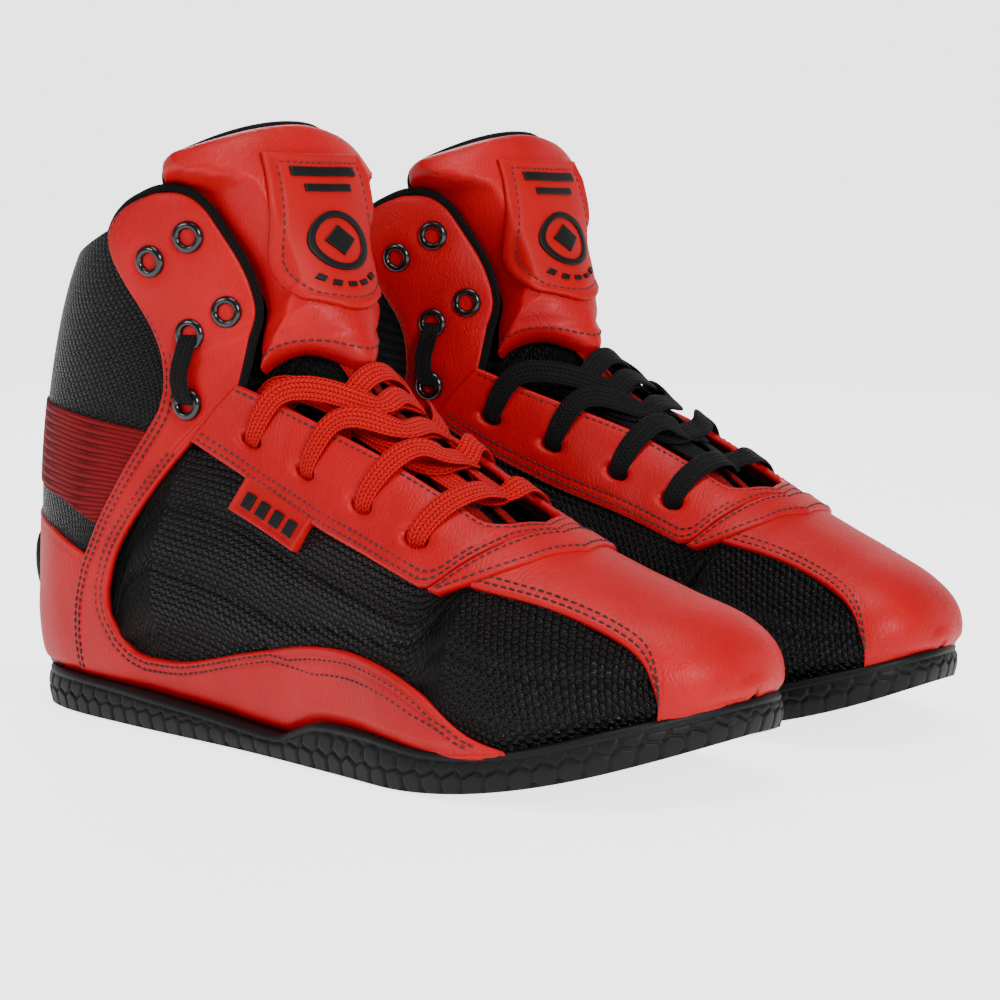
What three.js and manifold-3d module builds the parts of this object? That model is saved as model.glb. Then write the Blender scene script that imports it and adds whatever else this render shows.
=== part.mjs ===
// A pair of mid-height boxing boots, standing side by side: toes +X, left boot on +Y, up +Z, millimetres.
// The left boot is the mirror image of the right one. Every panel of the upper is a slice of one smooth
// boot surface: a layer between two offsets from it, cut to the panel's outline.
import * as THREE from "three";
import { mergeVertices } from "three/addons/utils/BufferGeometryUtils.js";
import Module from "manifold-3d";

const wasm = await Module();
wasm.setup();

// ---- Driving dimensions -------------------------------------------------------------------------
const GAP = 0.3; // clearance between neighbouring solids
const BOOT_APART = 62.7; // from the pair's middle plane to each boot's own axis
const TOE_OUT = 1.2; // degrees that each boot points outwards
const PAIR_SHIFT = 3.1; // moves the pair so that its box is centred on the origin
const SOLE_HALF_LENGTH = 150;
const TOE_SPRING = 20; // rise of the sole's underside at the toe tip
const BALL_X = 50; // the sole lies flat on the floor behind this
const OUTSOLE_FLOOR = 4;
const OUTSOLE_WALL = 5;
const BOARD_THICK = 2;
const SOCKLINER_THICK = 4;
const REACH = 90; // longer than half a boot is wide

// Layers of the upper, as [inner, outer] offsets from the boot surface.
const LINING = [-3.2, -1.4];
const STIFFENER = [-1.1, -0.3];
const MESH = [0, 1.2];
const LEATHER = [1.5, 2.7];
const TAG = [1.5, 3.3];
const HEEL_TAB = [3.0, 5.6];
const COLLAR_PAD = [-7.5, -3.5];
const TONGUE_CLOTH = [-11, -8.4];
const TONGUE_PAD = [-8, 0.5];
const BADGE = [0.8, 2.6];

const LACE_WIDTH = 7;
const LACE_THICK = 1.4;
const LACE_OVERLAP = 1.8; // a strand reaches this far past the hole that it turns into
const LACE_OVER = 4.3; // offset of a strand that lies on the eyestay
const LACE_UNDER = -6.2; // offset of a strand that runs beneath it
const SLOT = [9.4, 4.4]; // punched lace hole, along and across the eyestay
const EYELET_RADIUS = 5.4;
const EYELET_BORE = 2.5;
const EYELET_BARREL = 3.3;

// ---- Boot surface -------------------------------------------------------------------------------
// Sections fan out from the throat: upright across the forefoot, level across the shaft. Each row is
// front x, z; back x, z; lateral and medial half width; centre; where along it the section is widest;
// roundness of its front and of its back.
const SECTIONS = [
  [147.5, 38, 147.5, 30, 8, 8, 8, 0.5, 2.2, 2.2],
  [144, 46, 144, 24, 20, 19, 8.5, 0.5, 2.3, 2.6],
  [134, 53, 135, 14, 32, 29, 8, 0.55, 2.3, 4],
  [115, 60, 117, 6, 43, 38, 4, 0.62, 2.2, 5],
  [85, 72, 90, 2, 50, 45, -1, 0.68, 2.1, 5],
  [55, 89, 60, 1, 48, 43, -3, 0.72, 2, 5],
  [28, 107, 30, 1, 42, 38, -3, 0.74, 2, 5],
  [6, 124, -15, 1, 37, 35, -1, 0.72, 2, 4.5],
  [-6, 136, -70, 1, 35, 35, 0, 0.66, 2, 4],
  [-11, 144, -118, 2, 36, 35, 0, 0.6, 2, 3.2],
  [-14, 149, -142, 6, 36.5, 35.5, 0, 0.56, 2, 2.6],
  [-16, 154, -150, 20, 37, 36, 0, 0.54, 2, 2.4],
  [-18, 160, -151, 48, 37, 36, 0, 0.53, 2, 2.2],
  [-21, 168, -149, 82, 38.5, 37, 0, 0.52, 2, 2.1],
  [-25, 180, -142, 115, 41, 40, 0, 0.5, 2.1, 2],
  [-29, 193, -131, 143, 41.5, 40.5, 0, 0.5, 2.1, 2],
  [-33, 207, -117, 168, 39, 38, 0, 0.5, 2.1, 2],
];
const LAST_SECTION = SECTIONS.length - 1;
const ROWS = [0, 0.8, 2, 3, 4, 5, 6, 7, 8, 10, 12, 14, 16];
const AROUND = 16;
const ROUND_HOLE = 6; // sides of a small round hole or ring
const LATERAL = -1;
const MEDIAL = 1;

// One number of the section at u, on a Catmull-Rom curve through its neighbours.
function blended(u, column) {
  const i = Math.min(Math.floor(u), LAST_SECTION - 1);
  const t = u - i;
  const at = (k) => SECTIONS[THREE.MathUtils.clamp(k, 0, LAST_SECTION)][column];
  const [a, b, c, d] = [at(i - 1), at(i), at(i + 1), at(i + 2)];
  return b + 0.5 * t * (c - a + t * (2 * a - 5 * b + 4 * c - d + t * (3 * b - a - 3 * c + d)));
}

// Point of the bare surface at section u and angle phi: 0 on the front line, a quarter turn is lateral.
function surfacePoint(u, phi) {
  const [fx, fz, bx, bz, lateral, medial, centre, widest, frontN, backN] = SECTIONS[0].map(
    (_, column) => blended(u, column),
  );
  const [c, s] = [Math.cos(phi), Math.sin(phi)];
  const n = c > 0 ? frontN : backN;
  const r = (Math.abs(c) ** n + Math.abs(s) ** n) ** (-1 / n);
  const along = c > 0 ? widest - widest * r * c : widest - (1 - widest) * r * c;
  const width = s > 0 ? lateral : medial;
  return new THREE.Vector3(fx + (bx - fx) * along, centre - width * r * s, fz + (bz - fz) * along);
}

function surfaceNormal(u, phi) {
  const step = 0.02;
  const lower = Math.max(u - step, 0);
  const upper = Math.min(u + step, LAST_SECTION);
  const alongBoot = surfacePoint(upper, phi).sub(surfacePoint(lower, phi));
  const aroundBoot = surfacePoint(u, phi + step).sub(surfacePoint(u, phi - step));
  return alongBoot.cross(aroundBoot).normalize();
}

function offsetPoint(u, phi, offset) {
  return surfacePoint(u, phi).addScaledVector(surfaceNormal(u, phi), offset);
}

// ---- Solids -------------------------------------------------------------------------------------
function toSolid(geometry) {
  const bare = new THREE.BufferGeometry();
  bare.setAttribute("position", geometry.getAttribute("position"));
  if (geometry.index) {
    bare.setIndex(geometry.index);
  }
  const merged = mergeVertices(bare, 1e-3);
  const vertProperties = new Float32Array(merged.attributes.position.array);
  return new wasm.Manifold(
    new wasm.Mesh({ numProp: 3, vertProperties, triVerts: new Uint32Array(merged.index.array) }),
  );
}

function toGeometry(solid) {
  const { vertProperties, triVerts } = solid.getMesh();
  const geometry = new THREE.BufferGeometry();
  geometry.setAttribute("position", new THREE.BufferAttribute(new Float32Array(vertProperties), 3));
  geometry.setIndex(new THREE.BufferAttribute(new Uint32Array(triVerts), 1));
  return geometry;
}

// Closed skin over a row of rings, each end closed by a fan on the ring's middle. From the ring numbered
// turn, which starts the way back along an inner surface, the other diagonal halves each quad, so that
// nested surfaces have matching facets.
function loft(rings, turn = rings.length) {
  const size = rings[0].length;
  const middles = [rings[0], rings[rings.length - 1]].map((ring) =>
    ring.reduce((sum, p) => sum.add(p), new THREE.Vector3()).divideScalar(size),
  );
  const points = [...rings.flat(), ...middles];
  const faces = [];
  for (let i = 0; i < size; i += 1) {
    const j = (i + 1) % size;
    for (let k = 0; k + 1 < rings.length; k += 1) {
      const [a, b] = [k * size + i, k * size + j];
      if (k < turn) {
        faces.push([a, b, b + size], [a, b + size, a + size]);
      } else {
        faces.push([a, b, a + size], [b, b + size, a + size]);
      }
    }
    const end = (rings.length - 1) * size;
    faces.push([j, i, points.length - 2], [end + i, end + j, points.length - 1]);
  }
  let volume = 0;
  for (const [a, b, c] of faces) {
    volume += points[a].dot(points[b].clone().cross(points[c]));
  }
  const turned = volume < 0 ? faces.map(([a, b, c]) => [a, c, b]) : faces;
  const geometry = new THREE.BufferGeometry().setFromPoints(points);
  geometry.setIndex(turned.flat());
  return toSolid(geometry);
}

function surfaceRings(offset) {
  return ROWS.map((u) =>
    Array.from({ length: AROUND }, (_, i) => offsetPoint(u, (i * 2 * Math.PI) / AROUND, offset)),
  );
}

// The whole boot surface as a solid, grown or shrunk by an offset.
function bootSolid(offset) {
  return loft(surfaceRings(offset));
}

// The whole boot surface as a cup: closed at the toe, open at the shaft.
function layer([inner, outer]) {
  return loft([...surfaceRings(outer), ...surfaceRings(inner).reverse()], ROWS.length);
}

// A closed outline from straight and curved runs: one point is a straight line to it, a list of points
// is a smooth curve through them.
function outline(start, ...runs) {
  const shape = new THREE.Shape();
  shape.moveTo(...start);
  for (const run of runs) {
    if (typeof run[0] === "number") {
      shape.lineTo(...run);
    } else {
      shape.splineThru(run.map((p) => new THREE.Vector2(...p)));
    }
  }
  return shape;
}

function extruded(shape, depth, curveSegments) {
  return new THREE.ExtrudeGeometry(shape, { depth, curveSegments, bevelEnabled: false });
}

// Prism of a side-view outline (x, z) through the whole boot or through one side of it.
function sidePrism(shape, side = 0) {
  const geometry = extruded(shape, side === 0 ? 2 * REACH : REACH, 1);
  geometry.rotateX(Math.PI / 2);
  geometry.translate(0, side === LATERAL ? 0 : REACH, 0);
  return toSolid(geometry);
}

// Prism of a front-view outline (y, z), from far behind the boot's middle to beyond its front.
function frontPrism(shape, back = -70, depth = 120) {
  const geometry = extruded(shape, depth, 4);
  geometry.applyMatrix4(new THREE.Matrix4().set(0, 0, 1, back, 1, 0, 0, 0, 0, 1, 0, 0, 0, 0, 0, 1));
  return toSolid(geometry);
}

// Prism of a plan outline (x, y).
function planPrism(shape, bottom, height) {
  const geometry = extruded(shape, height, 2);
  geometry.translate(0, 0, bottom);
  return toSolid(geometry);
}

function box(size, matrix) {
  return toSolid(new THREE.BoxGeometry(...size).applyMatrix4(matrix));
}

// ---- Places on the surface ----------------------------------------------------------------------
// Section and angle of the surface point that a side view shows at (x, z).
function findPlace(x, z, side) {
  const miss = (u, phi) => {
    const p = surfacePoint(u, phi);
    return Math.hypot(p.x - x, p.z - z);
  };
  let [bestU, bestPhi, step] = [8, -side * 1.5, 4];
  let best = miss(bestU, bestPhi);
  while (step > 1e-4) {
    let moved = false;
    for (const [du, dphi] of [[1, 0], [-1, 0], [0, 1], [0, -1], [1, 1], [-1, -1], [1, -1], [-1, 1]]) {
      const u = THREE.MathUtils.clamp(bestU + du * step, 0, LAST_SECTION);
      const phi = -side * THREE.MathUtils.clamp(-side * (bestPhi + 0.2 * dphi * step), 0.02, 3.1);
      if (miss(u, phi) < best - 1e-9) {
        [best, bestU, bestPhi, moved] = [miss(u, phi), u, phi, true];
      }
    }
    step = moved ? step : step / 2;
  }
  return [bestU, bestPhi];
}

// Frame on the surface: X along the boot towards the toe, Z along the outward normal.
function frameAt(x, z, side, offset, slope = 0) {
  const [u, phi] = findPlace(x, z, side);
  const normal = surfaceNormal(u, phi);
  const slant = new THREE.Vector3(Math.cos(slope), 0, Math.sin(slope));
  const across = normal.clone().cross(slant).normalize();
  const along = across.clone().cross(normal);
  const matrix = new THREE.Matrix4().makeBasis(along, across, normal);
  return matrix.setPosition(offsetPoint(u, phi, offset));
}

// ---- Soles --------------------------------------------------------------------------------------
const SOLE_PLAN = [
  [-150, 0], [-141, -21], [-120, -33], [-80, -38.5], [-20, -43], [25, -49], [62, -54], [96, -50],
  [125, -37], [143, -15], [150, 8], [146, 28], [130, 42], [98, 50], [60, 49], [25, 42], [-30, 34],
  [-80, 34], [-120, 31], [-141, 20],
];

function soleOutline(inset) {
  const points = SOLE_PLAN.map(([x, y]) => [
    x * (1 - inset / SOLE_HALF_LENGTH),
    y * (1 - inset / 42),
  ]);
  const [first, ...others] = points;
  return outline(first, [...others, first]);
}

// Upright prism of the sole's plan, drawn in by inset.
function soleBlock(inset) {
  const [bottom, height] = [-5, 60];
  return planPrism(soleOutline(inset), bottom, height);
}

const under = (x) => (x > BALL_X ? TOE_SPRING * ((x - BALL_X) / 100) ** 2 : 0);

// Sidewall's top edge: high round the heel, low at the waist, a step up to the ball, then level.
const SIDEWALL_TOP = [
  [-165, 14], [-105, 14], [-50, 11.3], [-5, 8.5], [7, 11.5], [20, 15.5], [45, 16], [72, 14.5],
  [100, 17.5], [128, 25], [165, 36],
];
// Inner floor that the insole board lies on.
const FOOTBED = [[-165, 12.5], [-70, 11], [-5, 8], [60, 9.5], [85, 12.5], [110, 18], [165, 33]];

// Side-view slab between a curve lifted by low and another lifted by high.
function slab(lowCurve, low, highCurve, high) {
  const lower = lowCurve.map(([x, z]) => [x, z + low]);
  const upper = highCurve.map(([x, z]) => [x, z + high]).reverse();
  return sidePrism(outline(...lower, ...upper, lower[0]));
}

const UNDERSIDE = [-165, BALL_X, 70, 90, 110, 130, 165].map((x) => [x, under(x)]);
const SKY = [[-190, 260], [190, 260]];

function makeOutsole() {
  const blank = soleBlock(0).intersect(slab(UNDERSIDE, 0, SIDEWALL_TOP, 0));
  const recess = soleBlock(OUTSOLE_WALL);
  return blank.subtract(recess.intersect(slab(UNDERSIDE, OUTSOLE_FLOOR, SKY, 0)));
}

function makeMidsole() {
  const filling = soleBlock(OUTSOLE_WALL + GAP);
  return filling.intersect(slab(UNDERSIDE, OUTSOLE_FLOOR + GAP, FOOTBED, 0));
}

function makeInsole(bottom, thickness) {
  const inside = bootSolid(LINING[0] - GAP).intersect(soleBlock(OUTSOLE_WALL + GAP));
  return inside.intersect(slab(FOOTBED, bottom, FOOTBED, bottom + thickness));
}

// ---- Upper panels, side-view outlines (x, z) -----------------------------------------------------
// The collar's rim from the throat's corner over the flap and down to the back of the heel.
const THROAT_EDGE = [[71, 77.8], [66, 78.8], [56, 83.8], [26, 98], [-11, 111], [-32, 119]];
const FLAP_FRONT = [[-31, 133], [-29.5, 145], [-35, 162], [-42, 177], [-47, 184], [-54, 186.5]];
const COLLAR_TOP = [[-66, 179], [-80, 172.5], [-100, 165], [-128, 159], [-175, 155]];
const UPPER_ZONE = slab(SIDEWALL_TOP, GAP, SKY, 0);

const OPEN_UPPER = sidePrism(
  outline([170, -10], [170, 92], [76, 86], [74.5, 79], THROAT_EDGE, FLAP_FRONT, COLLAR_TOP, [-175, -10]),
);

const QUARTER_BACK = [
  [-77, 161], [-68, 145], [-63, 131], [-62, 118], [-68, 105], [-81, 88], [-94, 70], [-103, 55],
  [-109, 40], [-110, 22],
];
const SWEEP_EDGE = [
  [-50, 101], [-67, 83], [-84, 62], [-90, 47], [-85, 31], [-71, 25], [-50, 26], [-18, 33], [15, 39],
  [42, 39], [66, 33], [86, 21], [108, 6],
];
const QUARTER = outline(
  [-79.5, 171], [-66, 177.5], [[-53, 185], [-47.5, 182.5], [-43.5, 176]],
  [[-36.5, 162], [-31, 145], [-32.5, 133], [-34, 117]],
  SWEEP_EDGE, [108, -10], [-110, -10], [...QUARTER_BACK].reverse(), [-79.5, 171],
);
const EYESTAY = outline(
  [-33.5, 119], [-20, 125], [80, 90], [[79.2, 76], [76.5, 74.2], [71.5, 69.4], [65.4, 62.6]],
  [[60, 61.5], [36, 69], [4, 78], [-27, 89.5], [-49, 101.4]], [-34, 115.8],
);
const VAMP_BAND = outline([80.6, 92], [[79.8, 76], [77, 73.6], [72, 68.6], [66, 62.2]],
  [66.5, 60.5], [[78, 64.2], [86, 68], [89.5, 70.5], [91, 90]]);
const TOE_STRIP = outline([92, 92], [[89.9, 70.2], [86.2, 67.5], [78.6, 64]],
  [[99, 57.5], [119, 50.5], [130, 44], [135, 35], [135.5, 10]], [170, 10], [170, 90]);
const HEEL_COUNTER = outline([-170, 73], [[-128, 69], [-104, 59.5]],
  [[-103.6, 55], [-109.4, 40], [-110.4, 22]], [-110.4, -10], [-170, -10]);
const ANKLE_STRAP = outline([-170, 113], [[-122, 111], [-95, 106.5], [-69.5, 103.5]],
  [[-81.6, 88], [-94.6, 69.5]], [[-124, 79], [-170, 84]]);
const VAMP_MESH = outline([-56, 100], [[-49, 104], [-25, 94], [6, 83], [38, 74], [62, 67], [68, 78]],
  [80, 95], [170, 90], [170, -10], [-97, -10], [-97, 46], [[-90, 63], [-72, 86], [-56, 100]]);
const REAR_MESH = outline([-175, 62], [[-128, 61], [-99, 52]],
  [[-90, 68], [-77, 86], [-64, 103], [-58, 118], [-59, 131], [-64, 145], [-73.5, 161], [-76, 175]],
  [-80, 190], [-175, 190]);
const EYELET_TAPE = outline([-45, 174], [-34, 145], [-47.5, 130], [-48, 108], [-58.5, 107],
  [-57, 142], [-70, 164]);
const SIDE_TAG = outline([-24, 87.2], [9, 75.6], [2, 66.5], [-31, 77.6]);
const LINING_JOIN = -18; // x of the seam between the vamp lining and the quarter lining
const [FRONT, REAR] = [1, -1];
const HEEL_ZONE = outline([-170, 71], [[-128, 68], [-100, 58]], [-100, -10], [-170, -10]);
const PAD_BAND = outline([-76, 190], [[-78, 145], [-100, 133], [-128, 127], [-175, 124]], [-175, 190]);

const LACE_HOLES = [[52, 74.5], [28, 83.5], [0, 92.5], [-26, 101.5]];
const EYELETS = [[-51, 169], [-64, 161], [-40, 144], [-53, 136.5], [-54, 113]];
const TOP_LACE = [3, 4]; // the two eyelets that the short upper lace joins

const eyestaySlope = Math.atan2(LACE_HOLES[0][1] - LACE_HOLES[3][1], LACE_HOLES[0][0] - LACE_HOLES[3][0]);

function laceSlots(solid) {
  let cut = solid;
  for (const side of [LATERAL, MEDIAL]) {
    for (const [x, z] of LACE_HOLES) {
      cut = cut.subtract(box([SLOT[0], SLOT[1], 16], frameAt(x, z, side, 0, eyestaySlope)));
    }
  }
  return cut;
}

function eyeletHoles(solid, side) {
  let cut = solid;
  for (const [x, z] of EYELETS) {
    const hole = new THREE.CylinderGeometry(EYELET_BARREL + GAP, EYELET_BARREL + GAP, 16, ROUND_HOLE);
    hole.rotateX(Math.PI / 2).applyMatrix4(frameAt(x, z, side, 0));
    cut = cut.subtract(toSolid(hole));
  }
  return cut;
}

const leatherLayer = layer(LEATHER).intersect(UPPER_ZONE).intersect(OPEN_UPPER);
const meshLayer = layer(MESH).intersect(UPPER_ZONE).intersect(OPEN_UPPER);
const liningLayer = layer(LINING).intersect(UPPER_ZONE).intersect(OPEN_UPPER);
const stiffLayer = layer(STIFFENER).intersect(UPPER_ZONE);

// One of the four linings: in front of the join or behind it, on one side of the boot.
function makeLining(side, along) {
  const [long, tall] = [400, 300];
  const block = new THREE.BoxGeometry(long, REACH, tall);
  const x = LINING_JOIN + (along * (long + GAP)) / 2;
  block.translate(x, (side * (REACH + GAP)) / 2, tall / 3);
  return laceSlots(liningLayer.intersect(toSolid(block)));
}

function makeQuarter(side) {
  return eyeletHoles(leatherLayer.intersect(sidePrism(QUARTER, side)), side);
}

// Eyelets of one side, each clinched through the leather and the one tape behind it.
function makeEyelets(side) {
  let joined = layer([MESH[0] + 0.1, MESH[1]]).intersect(sidePrism(EYELET_TAPE, side));
  const [front, back] = [LEATHER[1] + 3 * GAP, STIFFENER[1]];
  const profile = [
    [EYELET_BORE, back], [EYELET_BARREL, back], [EYELET_BARREL, front], [EYELET_RADIUS, front],
    [EYELET_BORE, front + 1.1], [EYELET_BORE, back],
  ].map((p) => new THREE.Vector2(...p));
  for (const [x, z] of EYELETS) {
    const ring = new THREE.LatheGeometry(profile, ROUND_HOLE).rotateX(Math.PI / 2);
    const place = frameAt(x, z, side, 0);
    const middle = (EYELET_BORE + EYELET_BARREL) / 2;
    const bore = new THREE.CylinderGeometry(middle, middle, 16, ROUND_HOLE);
    const cut = toSolid(bore.rotateX(Math.PI / 2).applyMatrix4(place));
    joined = joined.subtract(cut).add(toSolid(ring.applyMatrix4(place)));
  }
  return joined;
}

// ---- Laces --------------------------------------------------------------------------------------
// Flat braid along points [position, outward normal], reaching a little past its first and last point.
function ribbon(stations, width = LACE_WIDTH, thickness = LACE_THICK) {
  const last = stations.length - 1;
  const rings = stations.map(([point, normal], i) => {
    const [before] = stations[Math.max(i - 1, 0)];
    const [after] = stations[Math.min(i + 1, last)];
    const forward = after.clone().sub(before).normalize();
    const across = forward.clone().cross(normal).normalize();
    const up = across.clone().cross(forward);
    const past = i === 0 ? -LACE_OVERLAP : i === last ? LACE_OVERLAP : 0;
    const middle = point.clone().addScaledVector(forward, past);
    return [[-1, -1], [1, -1], [1, 1], [-1, 1]].map(([w, t]) =>
      middle.clone().addScaledVector(across, (w * width) / 2).addScaledVector(up, (t * thickness) / 2),
    );
  });
  return loft(rings);
}

// Route over the surface through [x, z, side, offset] stops; side 0 is the ridge, with x as the section.
function route(stops, perStop = 2) {
  const places = stops.map(([x, z, side, offset]) => [
    ...(side === 0 ? [x, 0] : findPlace(x, z, side)),
    offset,
  ]);
  const steps = (places.length - 1) * perStop;
  return Array.from({ length: steps + 1 }, (_, i) => {
    const k = Math.min(Math.floor(i / perStop), places.length - 2);
    const t = i / perStop - k;
    const [u, phi, offset] = places[k].map((value, j) => value + (places[k + 1][j] - value) * t);
    return [offsetPoint(u, phi, offset), surfaceNormal(u, phi)];
  });
}

// Inner edge of the eyestay next to lace hole i, and the section whose ridge lies between two rows.
const EYESTAY_EDGE = [[58, 86.5], [35, 99.5], [8, 109], [-17, 117.5]];
const RIDGE_SECTIONS = [5.0, 5.6, 6.15, 6.65];
const TOP_CORNER = [-27, 116];
const TOP_RIDGE = 6.95;

function makeMainLace() {
  const under = LACE_UNDER;
  const over = LACE_OVER;
  const last = LACE_HOLES.length - 1;
  const [first] = LACE_HOLES;
  const tail = [[...first, LATERAL, under], [4.35, 0, 0, under], [...first, MEDIAL, under]];
  let lace = ribbon(route(tail, 3));
  for (const side of [LATERAL, MEDIAL]) {
    const lift = side === LATERAL ? 1.8 : -1.2;
    LACE_HOLES.forEach((hole, i) => {
      const [x, z] = hole;
      const nextHole = i < last ? LACE_HOLES[i + 1] : [-30, 109];
      const nextEdge = i < last ? EYESTAY_EDGE[i + 1] : TOP_CORNER;
      const stops = [
        [x, z, side, over], [...EYESTAY_EDGE[i], side, over], [RIDGE_SECTIONS[i], 0, 0, lift],
        [...nextEdge, -side, under], [...nextHole, -side, under],
      ];
      lace = lace.add(ribbon(route(stops)));
      const plug = frameAt(x, z, side, (over + under) / 2, eyestaySlope);
      lace = lace.add(box([LACE_WIDTH - 1, 2.8, over - under], plug));
    });
  }
  const bar = [
    [-31, 113, LATERAL, under], [-17, 121, LATERAL, -3.5], [TOP_RIDGE, 0, 0, 0.5],
    [-17, 121, MEDIAL, -3.5], [-31, 113, MEDIAL, under],
  ];
  return lace.add(ribbon(route(bar)));
}

function makeTopLace(side) {
  const [upper, lower] = TOP_LACE.map((i) => EYELETS[i]);
  const over = LEATHER[1] + 4 * GAP + 2.4;
  const middle = [(upper[0] + lower[0]) / 2 - 1, (upper[1] + lower[1]) / 2];
  const stops = [[...upper, side, over], [...middle, side, over + 1.2], [...lower, side, over]];
  let lace = ribbon(route(stops), 6, 1.6);
  for (const [x, z] of [upper, lower]) {
    lace = lace.add(box([2.4, 2.4, over], frameAt(x, z, side, over / 2)));
  }
  return lace;
}

// ---- Tongue -------------------------------------------------------------------------------------
const TONGUE_SEAM = [[14, 138.4], [-3, 131.6], [-25, 123.6], [-70, 107]];
const TONGUE_HEAD = outline(TONGUE_SEAM[0], TONGUE_SEAM[1], TONGUE_SEAM[2], [-28, 123.1],
  [[-29, 133], [-28.3, 145], [-34, 162.5], [-41, 178], [-46, 188.2]],
  [-66, 188.2], [-68, 230], [20, 230]);
const TONGUE_SOCK = outline([14, 137.8], [-3, 131], [-25, 123], [-70, 106.4], [-70, 60], [90, 60],
  [90, 80], [40, 130]);

function shield() {
  const [half, top, shoulder, bottom] = [18.5, 195, 160, 142];
  const shape = new THREE.Shape();
  shape.moveTo(-half, top);
  shape.lineTo(-half, shoulder);
  shape.bezierCurveTo(-half, bottom + 4, -half / 2, bottom, 0, bottom);
  shape.bezierCurveTo(half / 2, bottom, half, bottom + 4, half, shoulder);
  shape.lineTo(half, top);
  return shape;
}

function makeBadge() {
  return layer(BADGE).intersect(frontPrism(shield()));
}

function makeTongueCloth() {
  const strip = new THREE.BoxGeometry(200, 46, 200).translate(10, 0, 100);
  return layer(TONGUE_CLOTH).intersect(sidePrism(TONGUE_SOCK)).intersect(toSolid(strip));
}

// ---- Assembly -----------------------------------------------------------------------------------
const PAINT = {
  redLeather: { color: 0xd8171c, roughness: 0.5 },
  blackMesh: { color: 0x121214, roughness: 0.75 },
  blackLining: { color: 0x0e0e10, roughness: 0.9 },
  blackRubber: { color: 0x1c1c1d, roughness: 0.6 },
  blackFoam: { color: 0x19191a, roughness: 0.95 },
  board: { color: 0xb9a98b, roughness: 0.9 },
  redElastic: { color: 0xb01318, roughness: 0.8 },
  redRubber: { color: 0xd41a1f, roughness: 0.45 },
  eyeletMetal: { color: 0x08080a, roughness: 0.15, metalness: 0.6 },
  redBraid: { color: 0xd61d22, roughness: 0.75 },
  blackBraid: { color: 0x111113, roughness: 0.75 },
};

const HEEL_TAB_OUTLINE = new THREE.Shape().absellipse(0, 48, 9, 18, 0, 2 * Math.PI);

const PIECES = [
  ["outsole", "blackRubber", makeOutsole()],
  ["midsole", "blackFoam", makeMidsole()],
  ["insole_board", "board", makeInsole(GAP, BOARD_THICK)],
  ["sockliner", "blackFoam", makeInsole(BOARD_THICK + 2 * GAP, SOCKLINER_THICK)],
  ["heel_stiffener", "board", stiffLayer.intersect(sidePrism(HEEL_ZONE))],
  ["vamp_lining_lateral", "blackLining", makeLining(LATERAL, FRONT)],
  ["vamp_lining_medial", "blackLining", makeLining(MEDIAL, FRONT)],
  ["quarter_lining_lateral", "blackLining", makeLining(LATERAL, REAR)],
  ["quarter_lining_medial", "blackLining", makeLining(MEDIAL, REAR)],
  ["collar_pad", "blackLining", layer(COLLAR_PAD).intersect(OPEN_UPPER).intersect(sidePrism(PAD_BAND))],
  ["vamp_mesh", "blackMesh", meshLayer.intersect(sidePrism(VAMP_MESH))],
  ["rear_mesh", "blackMesh", meshLayer.intersect(sidePrism(REAR_MESH))],
  ["quarter_lateral", "redLeather", makeQuarter(LATERAL)],
  ["quarter_medial", "redLeather", makeQuarter(MEDIAL)],
  ["heel_counter", "redLeather", leatherLayer.intersect(sidePrism(HEEL_COUNTER))],
  ["ankle_strap", "redElastic", leatherLayer.intersect(sidePrism(ANKLE_STRAP))],
  ["heel_tab", "blackRubber", layer(HEEL_TAB).intersect(frontPrism(HEEL_TAB_OUTLINE, -190, 60))],
  ["eyestay", "redLeather", laceSlots(leatherLayer.intersect(sidePrism(EYESTAY)))],
  ["vamp_band", "redLeather", leatherLayer.intersect(sidePrism(VAMP_BAND))],
  ["toe_strip", "redLeather", leatherLayer.intersect(sidePrism(TOE_STRIP))],
  ["side_tag", "redRubber", layer(TAG).intersect(sidePrism(SIDE_TAG, LATERAL))],
  ["tongue_pad", "redLeather", layer(TONGUE_PAD).intersect(sidePrism(TONGUE_HEAD))],
  ["tongue_badge", "redRubber", makeBadge()],
  ["tongue_cloth", "blackMesh", makeTongueCloth()],
  ["eyelets_lateral", "eyeletMetal", makeEyelets(LATERAL)],
  ["eyelets_medial", "eyeletMetal", makeEyelets(MEDIAL)],
  ["lace_main", "braid", makeMainLace()],
  ["lace_top_lateral", "blackBraid", makeTopLace(LATERAL)],
  ["lace_top_medial", "blackBraid", makeTopLace(MEDIAL)],
];

function makeBoot(prefix, mainLacePaint) {
  const boot = new THREE.Group();
  for (const [name, paint, solid] of PIECES) {
    const settings = PAINT[paint === "braid" ? mainLacePaint : paint];
    const mesh = new THREE.Mesh(toGeometry(solid), new THREE.MeshStandardMaterial(settings));
    mesh.name = `${prefix}_${name}`;
    boot.add(mesh);
  }
  boot.position.set(0, -BOOT_APART, 0);
  boot.rotation.z = THREE.MathUtils.degToRad(-TOE_OUT);
  return boot;
}

const mirrored = new THREE.Group();
mirrored.scale.y = -1;
mirrored.add(makeBoot("left", "blackBraid"));

const pair = new THREE.Group();
pair.position.x = PAIR_SHIFT;
pair.add(makeBoot("right", "redBraid"), mirrored);

export default pair;
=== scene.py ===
"""A pair of mid-height boxing boots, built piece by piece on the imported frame."""
import math

import bpy
import numpy as np
from mathutils import Matrix


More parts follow.
